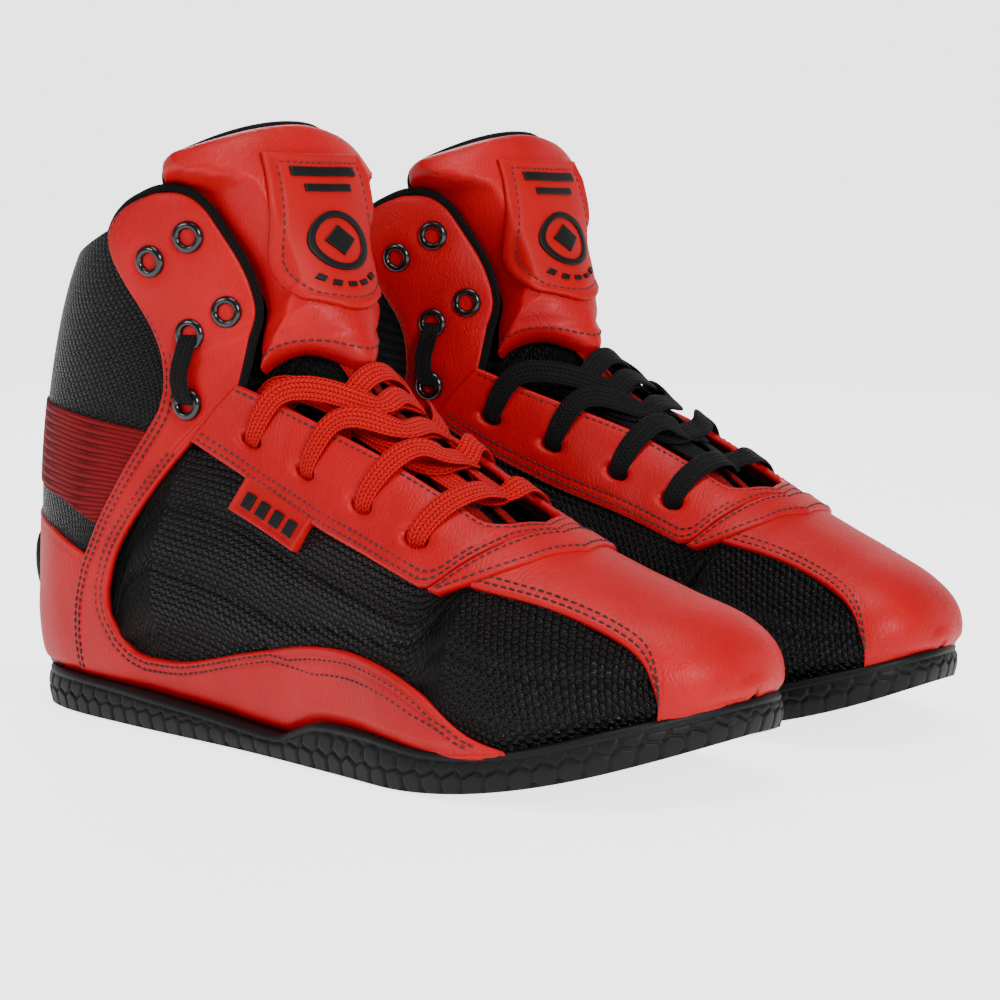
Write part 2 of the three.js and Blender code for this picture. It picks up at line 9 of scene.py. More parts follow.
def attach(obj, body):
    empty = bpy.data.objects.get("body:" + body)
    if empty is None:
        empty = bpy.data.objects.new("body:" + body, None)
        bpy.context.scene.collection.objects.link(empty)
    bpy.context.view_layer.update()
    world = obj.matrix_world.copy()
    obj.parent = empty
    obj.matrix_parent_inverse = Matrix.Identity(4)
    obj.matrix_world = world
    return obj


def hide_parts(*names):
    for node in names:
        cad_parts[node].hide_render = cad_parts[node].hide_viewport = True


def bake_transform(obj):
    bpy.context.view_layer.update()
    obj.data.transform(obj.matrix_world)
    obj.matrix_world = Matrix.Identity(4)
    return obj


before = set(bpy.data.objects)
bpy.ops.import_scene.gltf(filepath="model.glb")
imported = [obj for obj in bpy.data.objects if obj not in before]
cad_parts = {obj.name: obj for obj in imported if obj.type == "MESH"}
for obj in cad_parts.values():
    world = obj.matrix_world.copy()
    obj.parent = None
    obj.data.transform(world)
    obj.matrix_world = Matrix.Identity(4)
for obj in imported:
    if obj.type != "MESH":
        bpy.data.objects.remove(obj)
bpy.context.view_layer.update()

# ---- Camera, floor and lights ------------------------------------------------------------------
# A long lens from the front outer side of the right boot, a little above the ankle, and a white
# studio sweep under large soft boxes.
MM = 0.001
VIEW_TURN = math.radians(38.67)
VIEW_RISE = math.radians(6.34)
VIEW_DISTANCE = 894.8 * MM
VIEW_ASIDE = 3.85 * MM
VIEW_UP = 75.5 * MM
LENS = 90.07
PAIR_SHIFT = 3.1

camera = bpy.data.objects.new("camera", bpy.data.cameras.new("camera"))
back = np.array([math.sin(VIEW_TURN) * math.cos(VIEW_RISE),
                 -math.cos(VIEW_TURN) * math.cos(VIEW_RISE), math.sin(VIEW_RISE)])
right = np.array([math.cos(VIEW_TURN), math.sin(VIEW_TURN), 0.0])
up = np.cross(back, right)
spot = back * VIEW_DISTANCE + right * VIEW_ASIDE + up * VIEW_UP + np.array([PAIR_SHIFT * MM, 0, 0])
camera.matrix_world = Matrix([[right[i], up[i], back[i], spot[i]] for i in range(3)] + [[0, 0, 0, 1]])
camera.data.lens = LENS
camera.data.sensor_width = 36.0
bpy.context.scene.collection.objects.link(camera)
bpy.context.scene.camera = camera


def soft_box(name, place, size, power, colour=(1, 1, 1)):
    """A square area light at place, facing the boots."""
    light = bpy.data.lights.new(name, "AREA")
    light.size = size
    light.energy = power
    light.color = colour
    box = bpy.data.objects.new(name, light)
    towards = np.array([0.0, 0.0, 0.08]) - np.array(place)
    z = -towards / np.linalg.norm(towards)
    x = np.cross([0.0, 0.0, 1.0], z)
    x = x / np.linalg.norm(x) if np.linalg.norm(x) > 1e-6 else np.array([1.0, 0, 0])
    y = np.cross(z, x)
    box.matrix_world = Matrix([[x[i], y[i], z[i], place[i]] for i in range(3)] + [[0, 0, 0, 1]])
    bpy.context.scene.collection.objects.link(box)


soft_box("top_box", (0.25, -0.1, 1.5), 0.8, 11)
soft_box("key_box", (-0.3, -1.6, 1.0), 0.6, 9)
soft_box("toe_box", (1.6, -0.5, 0.8), 0.5, 19)
soft_box("rear_box", (-1.1, 1.0, 1.1), 0.6, 8)

world = bpy.data.worlds.new("studio")
bpy.context.scene.world = world
world.use_nodes = True
world.node_tree.nodes["Background"].inputs["Color"].default_value = (1, 1, 1, 1)
world.node_tree.nodes["Background"].inputs["Strength"].default_value = 0.16


def new_material(name):
    """A material with only a Principled shader; returns it with its node tree and that shader."""
    material = bpy.data.materials.new(name)
    material.use_nodes = True
    return material, material.node_tree, material.node_tree.nodes["Principled BSDF"]


def add_node(tree, kind, values=None, **links):
    """Adds a node, sets the inputs in values, and links each input named in links to a socket."""
    node = tree.nodes.new(kind)
    for key, value in (values or {}).items():
        if key in node.inputs:
            node.inputs[key].default_value = value
        else:
            setattr(node, key, value)
    for key, socket in links.items():
        tree.links.new(socket, node.inputs[key.replace("_", " ")])
    return node


def drive(tree, shader, tone, colours, stops=(0.0, 1.0), gloss=None, rough=None, relief=None,
          strength=1.0, depth=0.2):
    """Drives a Principled shader: base colour from tone through a ramp of two colours, roughness from
    gloss over the range rough, and relief in millimetres of depth."""
    ramp = add_node(tree, "ShaderNodeValToRGB", Fac=tone)
    for element, colour, stop in zip(ramp.color_ramp.elements, colours, stops):
        element.color = (*colour, 1)
        element.position = stop
    tree.links.new(ramp.outputs["Color"], shader.inputs["Base Color"])
    if gloss is not None:
        level = add_node(tree, "ShaderNodeMapRange", {"To Min": rough[0], "To Max": rough[1]},
                         Value=gloss)
        tree.links.new(level.outputs["Result"], shader.inputs["Roughness"])
    if relief is not None:
        bump = add_node(tree, "ShaderNodeBump", {"Strength": strength, "Distance": depth * MM},
                        Height=relief)
        tree.links.new(bump.outputs["Normal"], shader.inputs["Normal"])


def add_mesh(name, points, faces, material):
    """A mesh object from points in metres and faces as one index array."""
    mesh = bpy.data.meshes.new(name)
    faces = np.asarray(faces, np.int32)
    corners = faces.shape[1]
    mesh.vertices.add(len(points))
    mesh.vertices.foreach_set("co", np.asarray(points, np.float32).ravel())
    mesh.loops.add(faces.size)
    mesh.loops.foreach_set("vertex_index", faces.ravel())
    mesh.polygons.add(len(faces))
    mesh.polygons.foreach_set("loop_start", np.arange(0, faces.size, corners, dtype=np.int32))
    mesh.update(calc_edges=True)
    mesh.polygons.foreach_set("use_smooth", np.ones(len(faces), bool))
    mesh.materials.append(material)
    item = bpy.data.objects.new(name, mesh)
    bpy.context.scene.collection.objects.link(item)
    return item


floor_material, tree, shader = new_material("studio_floor")
shader.inputs["Base Color"].default_value = (0.9, 0.9, 0.9, 1)
shader.inputs["Roughness"].default_value = 0.6
shader.inputs["Emission Color"].default_value = (1, 1, 1, 1)
seen = add_node(tree, "ShaderNodeLightPath").outputs["Is Camera Ray"]
glow = add_node(tree, "ShaderNodeMapRange", {"To Min": 0.7, "To Max": 2.6}, Value=seen)
tree.links.new(glow.outputs["Result"], shader.inputs["Emission Strength"])
sweep = np.linspace(0, 1, 40)
rise = np.clip(sweep - 0.6, 0, 1) / 0.4
reach = np.where(sweep < 0.6, -16 + sweep * 30, 2 + 2 * np.sin(rise * math.pi / 2))
height = np.where(sweep < 0.6, 0.0, 2.5 * (1 - np.cos(rise * math.pi / 2)))
wide = np.linspace(-14, 14, 3)
lane = -back[:2] / np.linalg.norm(back[:2])
across = np.array([-lane[1], lane[0]])
rows = [reach[:, None] * lane[k] + wide[None, :] * across[k] for k in range(2)]
points = np.stack([rows[0], rows[1], np.broadcast_to(height[:, None], rows[0].shape)], -1)
i = np.arange(39)[:, None] * 3 + np.arange(2)[None, :]
faces = np.stack([i, i + 3, i + 4, i + 1], -1).reshape(-1, 4)
floor = add_mesh("studio_sweep", points.reshape(-1, 3), faces[:, ::-1], floor_material)

# ---- Outsoles ----------------------------------------------------------------------------------
# Moulded black rubber: flat under heel and ball, sprung up at the toe. The sidewall carries two rows
# of six-sided cells between thin grooves, and rises in a step at the waist.
SIDES = ("right", "left")
BOOT_APART = 62.7
TOE_OUT = math.radians(1.2)
TOE_SPRING = 20.0
BALL_X = 50.0
SOLE_PLAN = np.array([
    [-150, 0], [-141, -21], [-120, -33], [-80, -38.5], [-20, -43], [25, -49], [62, -54], [96, -50],
    [125, -37], [143, -15], [150, 8], [146, 28], [130, 42], [98, 50], [60, 49], [25, 42], [-30, 34],
    [-80, 34], [-120, 31], [-141, 20]], float)
SIDEWALL_TOP = np.array([
    [-165, 14], [-105, 14], [-50, 11.3], [-5, 8.5], [7, 11.5], [20, 15.5], [45, 16], [72, 14.5],
    [100, 17.5], [128, 25], [165, 36]])
CELL = 7.6
GROOVE_DEEP = 0.95
GROOVE_WIDE = 0.75
SPINE_INSET = -15.0


def catmull(points, per, closed=False):
    """Smooth curve through points: on each span, the cubic that leaves each point parallel to the
    line between its two neighbours, sampled per times."""
    points = np.asarray(points, float)
    if closed:
        ring = np.concatenate([points[-1:], points, points[:2]])
    else:
        ring = np.concatenate([points[:1], points, points[-1:]])
    a, b, c, d = ring[:-3], ring[1:-2], ring[2:-1], ring[3:]
    t = (np.arange(per) / per)[None, :, None]
    a, b, c, d = (p[:, None, :] for p in (a, b, c, d))
    curve = b + 0.5 * t * (c - a + t * (2 * a - 5 * b + 4 * c - d + t * (3 * b - a - 3 * c + d)))
    curve = curve.reshape(-1, points.shape[1])
    return curve if closed else np.concatenate([curve, points[-1:]])


def evenly(curve, count, closed=False):
    """The same curve resampled at count equal steps of its length."""
    line = np.concatenate([curve, curve[:1]]) if closed else curve
    run = np.concatenate([[0], np.cumsum(np.linalg.norm(np.diff(line, axis=0), axis=1))])
    at = np.linspace(0, run[-1], count, endpoint=not closed)
    return np.stack([np.interp(at, run, line[:, k]) for k in range(line.shape[1])], -1), run[-1]


def placed(points, side):
    """Boot coordinates in millimetres to the pair's frame in metres, mirrored for the left boot."""
    x, y, z = np.moveaxis(np.asarray(points, float), -1, 0)
    c, s = math.cos(TOE_OUT), math.sin(TOE_OUT)
    out = np.stack([x * c + y * s + PAIR_SHIFT, y * c - x * s - BOOT_APART, z], -1)
    if side == "left":
        out[..., 1] *= -1
    return out * MM


def facing(faces, side):
    """Faces as made for the right boot, turned round for the mirrored left one."""
    faces = np.asarray(faces)
    return faces if side == "right" else faces[:, ::-1]


def grid_faces(rows, columns, closed_rows=False, closed_columns=False):
    """Quads of a grid of rows by columns points, closed on itself either way if asked."""
    i = np.arange(rows if closed_rows else rows - 1)[:, None]
    j = np.arange(columns if closed_columns else columns - 1)[None, :]
    i2, j2 = (i + 1) % rows, (j + 1) % columns
    return np.stack([i * columns + j, i * columns + j2, i2 * columns + j2, i2 * columns + j],
                    -1).reshape(-1, 4)


def cell_edge(along, up_wall):
    """Distance to the nearest border of a honeycomb: half the gap between the two nearest centres."""
    row = CELL * math.sqrt(3) / 2
    best = []
    for dr in (-1, 0, 1):
        r = np.round(up_wall / row) + dr
        shift = np.where(r % 2 == 0, 0.0, CELL / 2)
        for dc in (-1, 0, 1):
            c = np.round((along - shift) / CELL) + dc
            wobble = 0.9 * np.sin(c * 12.9 + r * 4.1), 0.7 * np.sin(c * 7.3 + r * 9.7)
            best.append(np.hypot(along - shift - c * CELL - wobble[0], up_wall - r * row - wobble[1]))
    best = np.sort(np.stack(best), axis=0)
    return (best[1] - best[0]) / 2


def outsole_points():
    """Grid of the sole: columns run round the outline, rows run from the middle of the underside, out
    and up the sidewall, over its lip and in over the top. The wall's honeycomb is real relief."""
    outline, length = evenly(catmull(SOLE_PLAN, 24, closed=True), 1150, closed=True)
    n = len(outline)
    ahead = np.roll(outline, -1, 0) - np.roll(outline, 1, 0)
    normal = np.stack([ahead[:, 1], -ahead[:, 0]], -1)
    normal /= np.linalg.norm(normal, axis=1, keepdims=True)
    along = np.arange(n) * length / n
    x = outline[:, 0]
    low = np.where(x > BALL_X, TOE_SPRING * ((x - BALL_X) / 100) ** 2, 0.0)
    top_line = catmull(SIDEWALL_TOP, 10)
    top = np.interp(x, top_line[:, 0], top_line[:, 1])
    wall = np.linspace(0, 1, 30)
    tall = (top - low)[None, :]
    z_wall = low[None, :] + 1.2 + wall[:, None] * (tall - 2.2)
    bulge = 0.9 * np.sin(wall * math.pi)[:, None]
    s = np.broadcast_to(along[None, :], z_wall.shape)
    lift = z_wall - low[None, :]
    edge = cell_edge(s, lift - 3.4)
    band = 1 / (1 + np.exp(-(tall - 3.1 - lift) * 3))
    groove = GROOVE_DEEP * np.exp(-(edge / (GROOVE_WIDE * 0.6)) ** 2) * band
    lip = 0.5 * np.exp(-((tall - 2.6 - lift) / 0.5) ** 2)
    out = bulge - groove - lip - 0.4
    inset = [np.full((1, n), v) for v in (-38.0, -12.0, -4.0, -1.6, -0.5)]
    level = [np.broadcast_to(low, (1, n))] * 3 + [low[None] + 0.15, low[None] + 0.6]
    rim = [np.full((1, n), v) for v in (-0.9, -2.0, -6.0, -12.0)]
    crest = [top[None] - 0.3, top[None], top[None] - 0.1, top[None] - 1.0]
    move = np.concatenate(inset + [out] + rim)
    z = np.concatenate(level + [z_wall] + crest)
    flat = outline[None] + normal[None] * move[..., None]
    spine = np.stack([np.clip(x, -112, 108), 0 * x], -1)
    flat = np.where(move[..., None] < SPINE_INSET, spine[None], flat)
    return np.concatenate([flat, z[..., None]], -1)


# Rubber: near-black, satin, with fine moulding grain and a broad random mottle of paler tone.
rubber, tree, shader = new_material("moulded_rubber")
shader.inputs["Specular IOR Level"].default_value = 0.22
place_on = add_node(tree, "ShaderNodeTexCoord").outputs["Object"]
speckle = add_node(tree, "ShaderNodeTexNoise", {"Scale": 900.0, "Detail": 4.0}, Vector=place_on)
cloud = add_node(tree, "ShaderNodeTexNoise", {"Scale": 35.0, "Detail": 3.0}, Vector=place_on)
drive(tree, shader, cloud.outputs["Fac"], [(0.003, 0.003, 0.0032), (0.009, 0.009, 0.0094)],
      gloss=speckle.outputs["Fac"], rough=(0.38, 0.6), relief=speckle.outputs["Fac"], strength=0.25)

sole_points = outsole_points()
sole_faces = grid_faces(*sole_points.shape[:2], closed_columns=True)
for side in SIDES:
    sole = add_mesh(f"{side}_outsole_moulding", placed(sole_points, side).reshape(-1, 3),
                    facing(sole_faces, side), rubber)
    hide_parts(f"{side}_outsole")
    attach(sole, f"{side}_boot")

# ---- Linings -----------------------------------------------------------------------------------
# Brushed black textile that faces the whole inside of the upper. A rear piece goes round the heel from
# one collar flap to the other, and a front piece covers the forefoot up to the throat.
# The upper is lasted: every panel of it lies on one smooth boot form, and is that form moved outwards.
SECTIONS = np.array([
    # front x, z; back x, z; lateral and medial half width; centre; widest; roundness front, back
    [147.5, 38, 147.5, 30, 8, 8, 8, 0.5, 2.2, 2.2],
    [144, 46, 144, 24, 20, 19, 8.5, 0.5, 2.3, 2.6],
    [134, 53, 135, 14, 32, 29, 8, 0.55, 2.3, 4],
    [115, 60, 117, 6, 43, 38, 4, 0.62, 2.2, 5],
    [85, 72, 90, 2, 50, 45, -1, 0.68, 2.1, 5],
    [55, 89, 60, 1, 48, 43, -3, 0.72, 2, 5],
    [28, 107, 30, 1, 42, 38, -3, 0.74, 2, 5],
    [6, 124, -15, 1, 37, 35, -1, 0.72, 2, 4.5],
    [-6, 136, -70, 1, 35, 35, 0, 0.66, 2, 4],
    [-11, 144, -118, 2, 36, 35, 0, 0.6, 2, 3.2],
    [-14, 149, -142, 6, 36.5, 35.5, 0, 0.56, 2, 2.6],
    [-16, 154, -150, 20, 37, 36, 0, 0.54, 2, 2.4],
    [-18, 160, -151, 48, 37, 36, 0, 0.53, 2, 2.2],
    [-21, 168, -149, 82, 38.5, 37, 0, 0.52, 2, 2.1],
    [-25, 180, -142, 115, 41, 40, 0, 0.5, 2.1, 2],
    [-29, 193, -131, 143, 41.5, 40.5, 0, 0.5, 2.1, 2],
    [-33, 207, -117, 168, 39, 38, 0, 0.5, 2.1, 2]])
LAST = len(SECTIONS) - 1
NOSE = 0.5
NOSE_OUT = 1.2
FLAP_FRONT = [[-34, 117], [-32.5, 133], [-31, 145], [-36.5, 162], [-43.5, 176], [-47.5, 182.5],
              [-54, 185.5]]
COLLAR_TOP = [[-54, 185.5], [-66, 178.5], [-80, 172], [-100, 165], [-120, 160]]


def bare(u, phi):
    """Point of the boot form. Section u is a superellipse between its front and its back point, blended
    smoothly from its neighbours; angle phi is 0 on the front line and a quarter turn on the lateral
    side. Below section 0 the last section shrinks to a point on a shallow parabola to close the
    nose."""
    u, phi = np.broadcast_arrays(np.asarray(u, float), np.asarray(phi, float))
    nose = np.clip(-u / NOSE, 0, 1)
    u = np.clip(u, 0, LAST)
    i = np.minimum(np.floor(u).astype(int), LAST - 1)
    t = (u - i)[..., None]
    a, b, c, d = (SECTIONS[np.clip(i + k, 0, LAST)] for k in (-1, 0, 1, 2))
    row = b + 0.5 * t * (c - a + t * (2 * a - 5 * b + 4 * c - d + t * (3 * b - a - 3 * c + d)))
    fx, fz, bx, bz, lateral, medial, centre, widest, front_n, back_n = np.moveaxis(row, -1, 0)
    cos, sin = np.cos(phi), np.sin(phi)
    n = np.where(cos > 0, front_n, back_n)
    r = (np.abs(cos) ** n + np.abs(sin) ** n) ** (-1 / n) * (1 - nose)
    along = np.where(cos > 0, widest - widest * r * cos, widest - (1 - widest) * r * cos)
    width = np.where(sin > 0, lateral, medial)
    return np.stack([fx + (bx - fx) * along + NOSE_OUT * (1 - (1 - nose) ** 2),
                     centre - width * r * sin, fz + (bz - fz) * along], -1)


def normal_at(u, phi):
    """Outward normal of the boot form: the cross product of its two tangents. Over the edge of the nose
    the first tangent spans a wider step, which rounds the edge."""
    reach = 0.02 + 0.3 * np.exp(-(np.asarray(u) / 0.5) ** 2)
    along = bare(np.clip(u + reach, -NOSE, LAST), phi) - bare(np.clip(u - reach, -NOSE, LAST), phi)
    around = bare(u, phi + 0.02) - bare(u, phi - 0.02)
    n = np.cross(along, around)
    return n / np.maximum(np.linalg.norm(n, axis=-1, keepdims=True), 1e-9)


def on_boot(u, phi, lift):
    """Boot form moved out along its normal by lift."""
    return bare(u, phi) + normal_at(u, phi) * np.asarray(lift)[..., None]


search_u, search_phi = np.meshgrid(np.linspace(0, LAST, 241), np.linspace(0.01, math.pi - 0.01, 181))
search = bare(search_u, search_phi).reshape(-1, 3)


def find(points, axes=(0, 2)):
    """Section and angle where a view along the third axis shows points: the nearest of a fine grid,
    then Newton steps. The view from the side uses axes x and z, the view from the front y and z."""
    points = np.asarray(points, float)
    grid = search[:, axes]
    if axes == (1, 2):
        grid = np.where((search_phi.ravel() > 1.75)[:, None], 1e3, grid)
    best = ((grid[None] - points[:, None]) ** 2).sum(-1).argmin(1)
    u, phi = search_u.ravel()[best], search_phi.ravel()[best]
    for _ in range(8):
        miss = points - bare(u, phi)[:, axes]
        du = (bare(u + 1e-3, phi) - bare(u - 1e-3, phi))[:, axes] / 2e-3
        dp = (bare(u, phi + 1e-3) - bare(u, phi - 1e-3))[:, axes] / 2e-3
        det = du[:, 0] * dp[:, 1] - du[:, 1] * dp[:, 0]
        det = np.where(np.abs(det) < 1.0, np.sign(det) + (det == 0), det)
        step_u = (miss[:, 0] * dp[:, 1] - miss[:, 1] * dp[:, 0]) / det
        step_p = (du[:, 0] * miss[:, 1] - du[:, 1] * miss[:, 0]) / det
        u = np.clip(u + np.clip(step_u, -0.3, 0.3), 0, LAST)
        phi = np.clip(phi + np.clip(step_p, -0.15, 0.15), 0, math.pi)
    return np.stack([u, phi], -1)


def run(points, count):
    """count even steps of the smooth side-view curve through points, as sections and angles."""
    curve, _ = evenly(catmull(points, 16), count + 1)
    return find(curve)


def ridge(x):
    """Place on the front line at x."""
    u = np.linspace(0, LAST, 1601)
    return [float(np.interp(-x, -bare(u, 0)[:, 0], u)), 0.0]


def heel(z):
    """Place on the heel line at height z."""
    u = np.linspace(9, LAST, 801)
    return [float(np.interp(z, bare(u, math.pi)[:, 2], u)), math.pi]


def round_heel(place, z, count):
    """Run from a place to the heel line, its height easing to z: Newton steps on u for each angle."""
    share = np.linspace(0, 1, count + 1)
    phi = place[1] + (math.pi - place[1]) * share
    start = bare(*place)[2]
    height = start + (z - start) * np.sin(share * math.pi / 2)
    u = np.full(count + 1, place[0])
    for _ in range(25):
        slope = (bare(u + 1e-3, phi) - bare(u - 1e-3, phi))[:, 2] / 2e-3
        miss = height - bare(u, phi)[:, 2]
        u = np.clip(u + np.clip(miss / np.maximum(slope, 8.0), -0.4, 0.4), 7, LAST)
    return np.stack([u, phi], -1)


def span(start, end, count):
    """count even steps from one place to another."""
    return np.linspace(start, end, count + 1)


def chain(*runs):
    """Runs joined end to end, without their doubled points."""
    return np.concatenate([runs[0]] + [r[1:] for r in runs[1:]])


def other_side(places, centre=0.0):
    """The same places on the boot's other side, mirrored through the front line or the heel line."""
    return np.stack([places[:, 0], 2 * centre - places[:, 1]], -1)


def both_sides(places, centre=0.0):
    """Lateral places followed back through their mirror images."""
    return np.concatenate([places, other_side(places, centre)[::-1]])


def looped(places, centre=0.0):
    """The same, without doubling the point on the front or the heel line."""
    return np.concatenate([places, other_side(places, centre)[::-1][1:]])


RIM = np.array([0, 0.12, 0.35, 0.7, 1.15])


class Patch:
    """Grid ruled between two edges of equal point counts. Each rung from edge a to edge b has columns
    at fixed distances from both edges and even ones between; extra rows lie close to the two ends."""

    def __init__(self, edge_a, edge_b, pitch=1.3, middle=None, top_row=None, crown=None):
        gap = np.linalg.norm(bare(*((edge_a + edge_b) / 2).T)[1:]
                             - bare(*((edge_a + edge_b) / 2).T)[:-1], axis=1)
        sides = [np.linalg.norm(np.diff(bare(*e.T), axis=0), axis=1) for e in (edge_a, edge_b)]
        at = np.concatenate([[0], np.cumsum(np.maximum(gap, np.maximum(*sides)) + 1e-6)])
        count = max(int(at[-1] / pitch), 6)
        rows = np.linspace(0, at[-1], count + 1)
        rows = np.unique(np.concatenate([RIM, rows[1:-1], at[-1] - RIM]))
        a, b = (np.stack([np.interp(rows, at, e[:, k]) for k in (0, 1)], -1) for e in (edge_a, edge_b))
        fine = np.linspace(0, 1, 25)[None, :]
        line = bare(a[:, :1] + (b[:, :1] - a[:, :1]) * fine, a[:, 1:] + (b[:, 1:] - a[:, 1:]) * fine)
        steps = np.linalg.norm(np.diff(line, axis=1), axis=2)
        gone = np.concatenate([np.zeros((len(rows), 1)), np.cumsum(steps, 1)], 1)
        wide = np.maximum(gone[:, -1:], 1e-3)
        columns = middle or max(int(wide.max() / pitch), 8)
        rim = RIM[None, :] * np.minimum(1, 0.4 * wide / RIM[-1])
        inner = np.linspace(0, 1, columns + 1)[None, 1:-1]
        inner = rim[:, -1:] + inner * (wide - 2 * rim[:, -1:])
        away = np.concatenate([rim, inner, wide - rim[:, ::-1]], 1)
        t = np.stack([np.interp(away[i], gone[i], fine[0]) for i in range(len(rows))])
        self.u = a[:, :1] + (b[:, :1] - a[:, :1]) * t
        self.phi = a[:, 1:] + (b[:, 1:] - a[:, 1:]) * t
        if crown is not None:
            target = np.interp(rows / rows[-1], np.linspace(0, 1, len(crown)), crown)[:, None]
            self.u += (target - (a[:, :1] + b[:, :1]) / 2) * (1 - (2 * t - 1) ** 2) ** 2
        if top_row is not None:
            fade = np.clip(1 - np.linspace(0, 1, len(rows)) * 2.2, 0, 1)[:, None] ** 2
            self.u += fade * (np.interp(self.phi[:1], top_row[:, 1], top_row[:, 0]) - self.u[:1])
        self.to_a, self.to_b = away, wide - away
        self.to_end = np.minimum(rows, at[-1] - rows)[:, None]
        self.from_start = rows[:, None]
        self.a, self.b, self.wide, self.rows = a, b, wide, rows
        self.shape = self.u.shape

    def near(self, a=True, b=True, ends=True):
        """Distance from each point to the nearest of the chosen borders."""
        far = np.full(self.shape, 1e3)
        far = np.minimum(far, self.to_a) if a else far
        far = np.minimum(far, self.to_b) if b else far
        return np.minimum(far, self.to_end) if ends else far

    def seam(self, inset, edge="a", start=0.0, end=1.0):
        """Places of a stitch row at a distance inside one edge."""
        rows = slice(int(start * len(self.rows)), max(int(end * len(self.rows)), 2))
        t = np.clip(inset / self.wide, 0, 0.5)
        t = t if edge == "a" else 1 - t
        places = (self.a + (self.b - self.a) * t)[rows]
        form = bare(*places.T)
        return places[form[:, 2] > sole_top(form[:, 0]) + 1.6]


def rolled(distance, radius):
    """How far a rounded edge lies below its panel: a quarter circle of that radius."""
    near = np.clip(1 - distance / radius, 0, 1)
    return radius * (1 - np.sqrt(1 - near ** 2))


def slab(patch, top, bottom):
    """Closed panel over a patch: the outer face at lift top, and back along the inner face at lift
    bottom, which also closes both ends. Gives points, faces and the distance round and along as UV."""
    top = np.broadcast_to(top, patch.shape).copy()
    bottom = np.broadcast_to(bottom, patch.shape)
    top[[0, -1]] = np.minimum(top[[0, -1]], bottom[[0, -1]] + 0.05)
    back = np.linspace(0, patch.shape[1] - 1, 14).round().astype(int)[::-1]
    u = np.concatenate([patch.u, patch.u[:, back]], 1)
    phi = np.concatenate([patch.phi, patch.phi[:, back]], 1)
    lift = np.concatenate([top, bottom[:, back]], 1)
    points = on_boot(u, phi, lift)
    faces = grid_faces(*u.shape, closed_columns=True)
    across = np.concatenate([patch.to_a, patch.to_a[:, back]], 1)
    along = np.broadcast_to(patch.from_start, u.shape)
    return points, faces, np.stack([along, across], -1)


def make_pieces(name, shape, material, body, replaces=(), bend=None):
    """Adds a piece to both boots, with its frame calls; the left one is the mirror image. If bend is
    given, the piece is baked in place instead of attached; the two places in bend are not used."""
    points, faces, uv = shape
    flat = points.reshape(-1, 3)
    a, b, c, d = (flat[faces[:, k]] for k in range(4))
    outward = ((a + b + c + d) / 4 - flat.mean(0)) * np.cross(c - a, d - b)
    faces = faces[:, ::-1] if outward.sum() < 0 else faces
    made = []
    for side in SIDES:
        piece = add_mesh(f"{side}_{name}", placed(flat, side), facing(faces, side),
                         material[side] if isinstance(material, dict) else material)
        if uv is not None:
            layer = piece.data.uv_layers.new(name="surface")
            corner = facing(faces, side).ravel()
            layer.data.foreach_set("uv", (uv.reshape(-1, 2)[corner] * MM).astype(np.float32).ravel())
        if bend:
            start, end = (tuple(float(v) for v in placed(np.array(place), side)) for place in bend)
            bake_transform(piece)
        else:
            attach(piece, f"{side}_{body}")
        if replaces:
            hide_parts(*[f"{side}_{node}" for node in replaces])
        made.append(piece)
    return made


def new_group(name, inputs, outputs):
    """A shader node group with the given input defaults and output kinds."""
    group = bpy.data.node_groups.new(name, "ShaderNodeTree")
    for key, value in inputs.items():
        kind = "NodeSocketVector" if value is None else "NodeSocketFloat"
        socket = group.interface.new_socket(key, in_out="INPUT", socket_type=kind)
        if value is not None:
            socket.default_value = value
    for key in outputs:
        group.interface.new_socket(key, in_out="OUTPUT", socket_type="NodeSocketFloat")
    return group, group.nodes.new("NodeGroupInput").outputs, group.nodes.new("NodeGroupOutput").inputs


def sums(tree, operation, first, second=None, third=None):
    """One Math node; numbers are set on it and sockets are linked to it."""
    node = tree.nodes.new("ShaderNodeMath")
    node.operation = operation
    for k, value in enumerate((first, second, third)):
        if value is None:
            continue
        if isinstance(value, (int, float)):
            node.inputs[k].default_value = value
        else:
            tree.links.new(value, node.inputs[k])
    return node.outputs[0]


# Woven yarn: rows of rounded floats, every second row shifted by half a float, each float split into
# a few plies that slant across it.
weave, given, gives = new_group("yarn_weave", {"Place": None, "Long": 3.0, "Tall": 2.0, "Slant": 0.5,
                                               "Plies": 3.0, "Uneven": 0.5}, ("Height", "Gap", "Ply"))
split = add_node(weave, "ShaderNodeSeparateXYZ", Vector=given["Place"])
wobble = add_node(weave, "ShaderNodeTexNoise", {"Scale": 260.0, "Detail": 2.0}, Vector=given["Place"])
jitter = sums(weave, "MULTIPLY", sums(weave, "SUBTRACT", wobble.outputs["Fac"], 0.5), given["Uneven"])
x = sums(weave, "DIVIDE", sums(weave, "MULTIPLY", split.outputs["X"], 1000.0), given["Long"])
y = sums(weave, "DIVIDE", sums(weave, "MULTIPLY", split.outputs["Y"], 1000.0), given["Tall"])
y = sums(weave, "ADD", y, jitter)
line = sums(weave, "FLOOR", y)
shift = sums(weave, "MULTIPLY", sums(weave, "FLOORED_MODULO", line, 2.0), 0.5)
fx = sums(weave, "FRACT", sums(weave, "ADD", sums(weave, "ADD", x, shift), jitter))
fx = sums(weave, "SUBTRACT", fx, 0.5)
fy = sums(weave, "SUBTRACT", sums(weave, "FRACT", y), 0.5)
far_x = sums(weave, "POWER", sums(weave, "ABSOLUTE", sums(weave, "MULTIPLY", fx, 2.0)), 3.0)
far_y = sums(weave, "POWER", sums(weave, "ABSOLUTE", sums(weave, "MULTIPLY", fy, 2.0)), 2.0)
dome = sums(weave, "SUBTRACT", 1.0, sums(weave, "ADD", far_x, far_y))
dome = sums(weave, "MAXIMUM", dome, 0.0)
dome = sums(weave, "SQRT", dome)
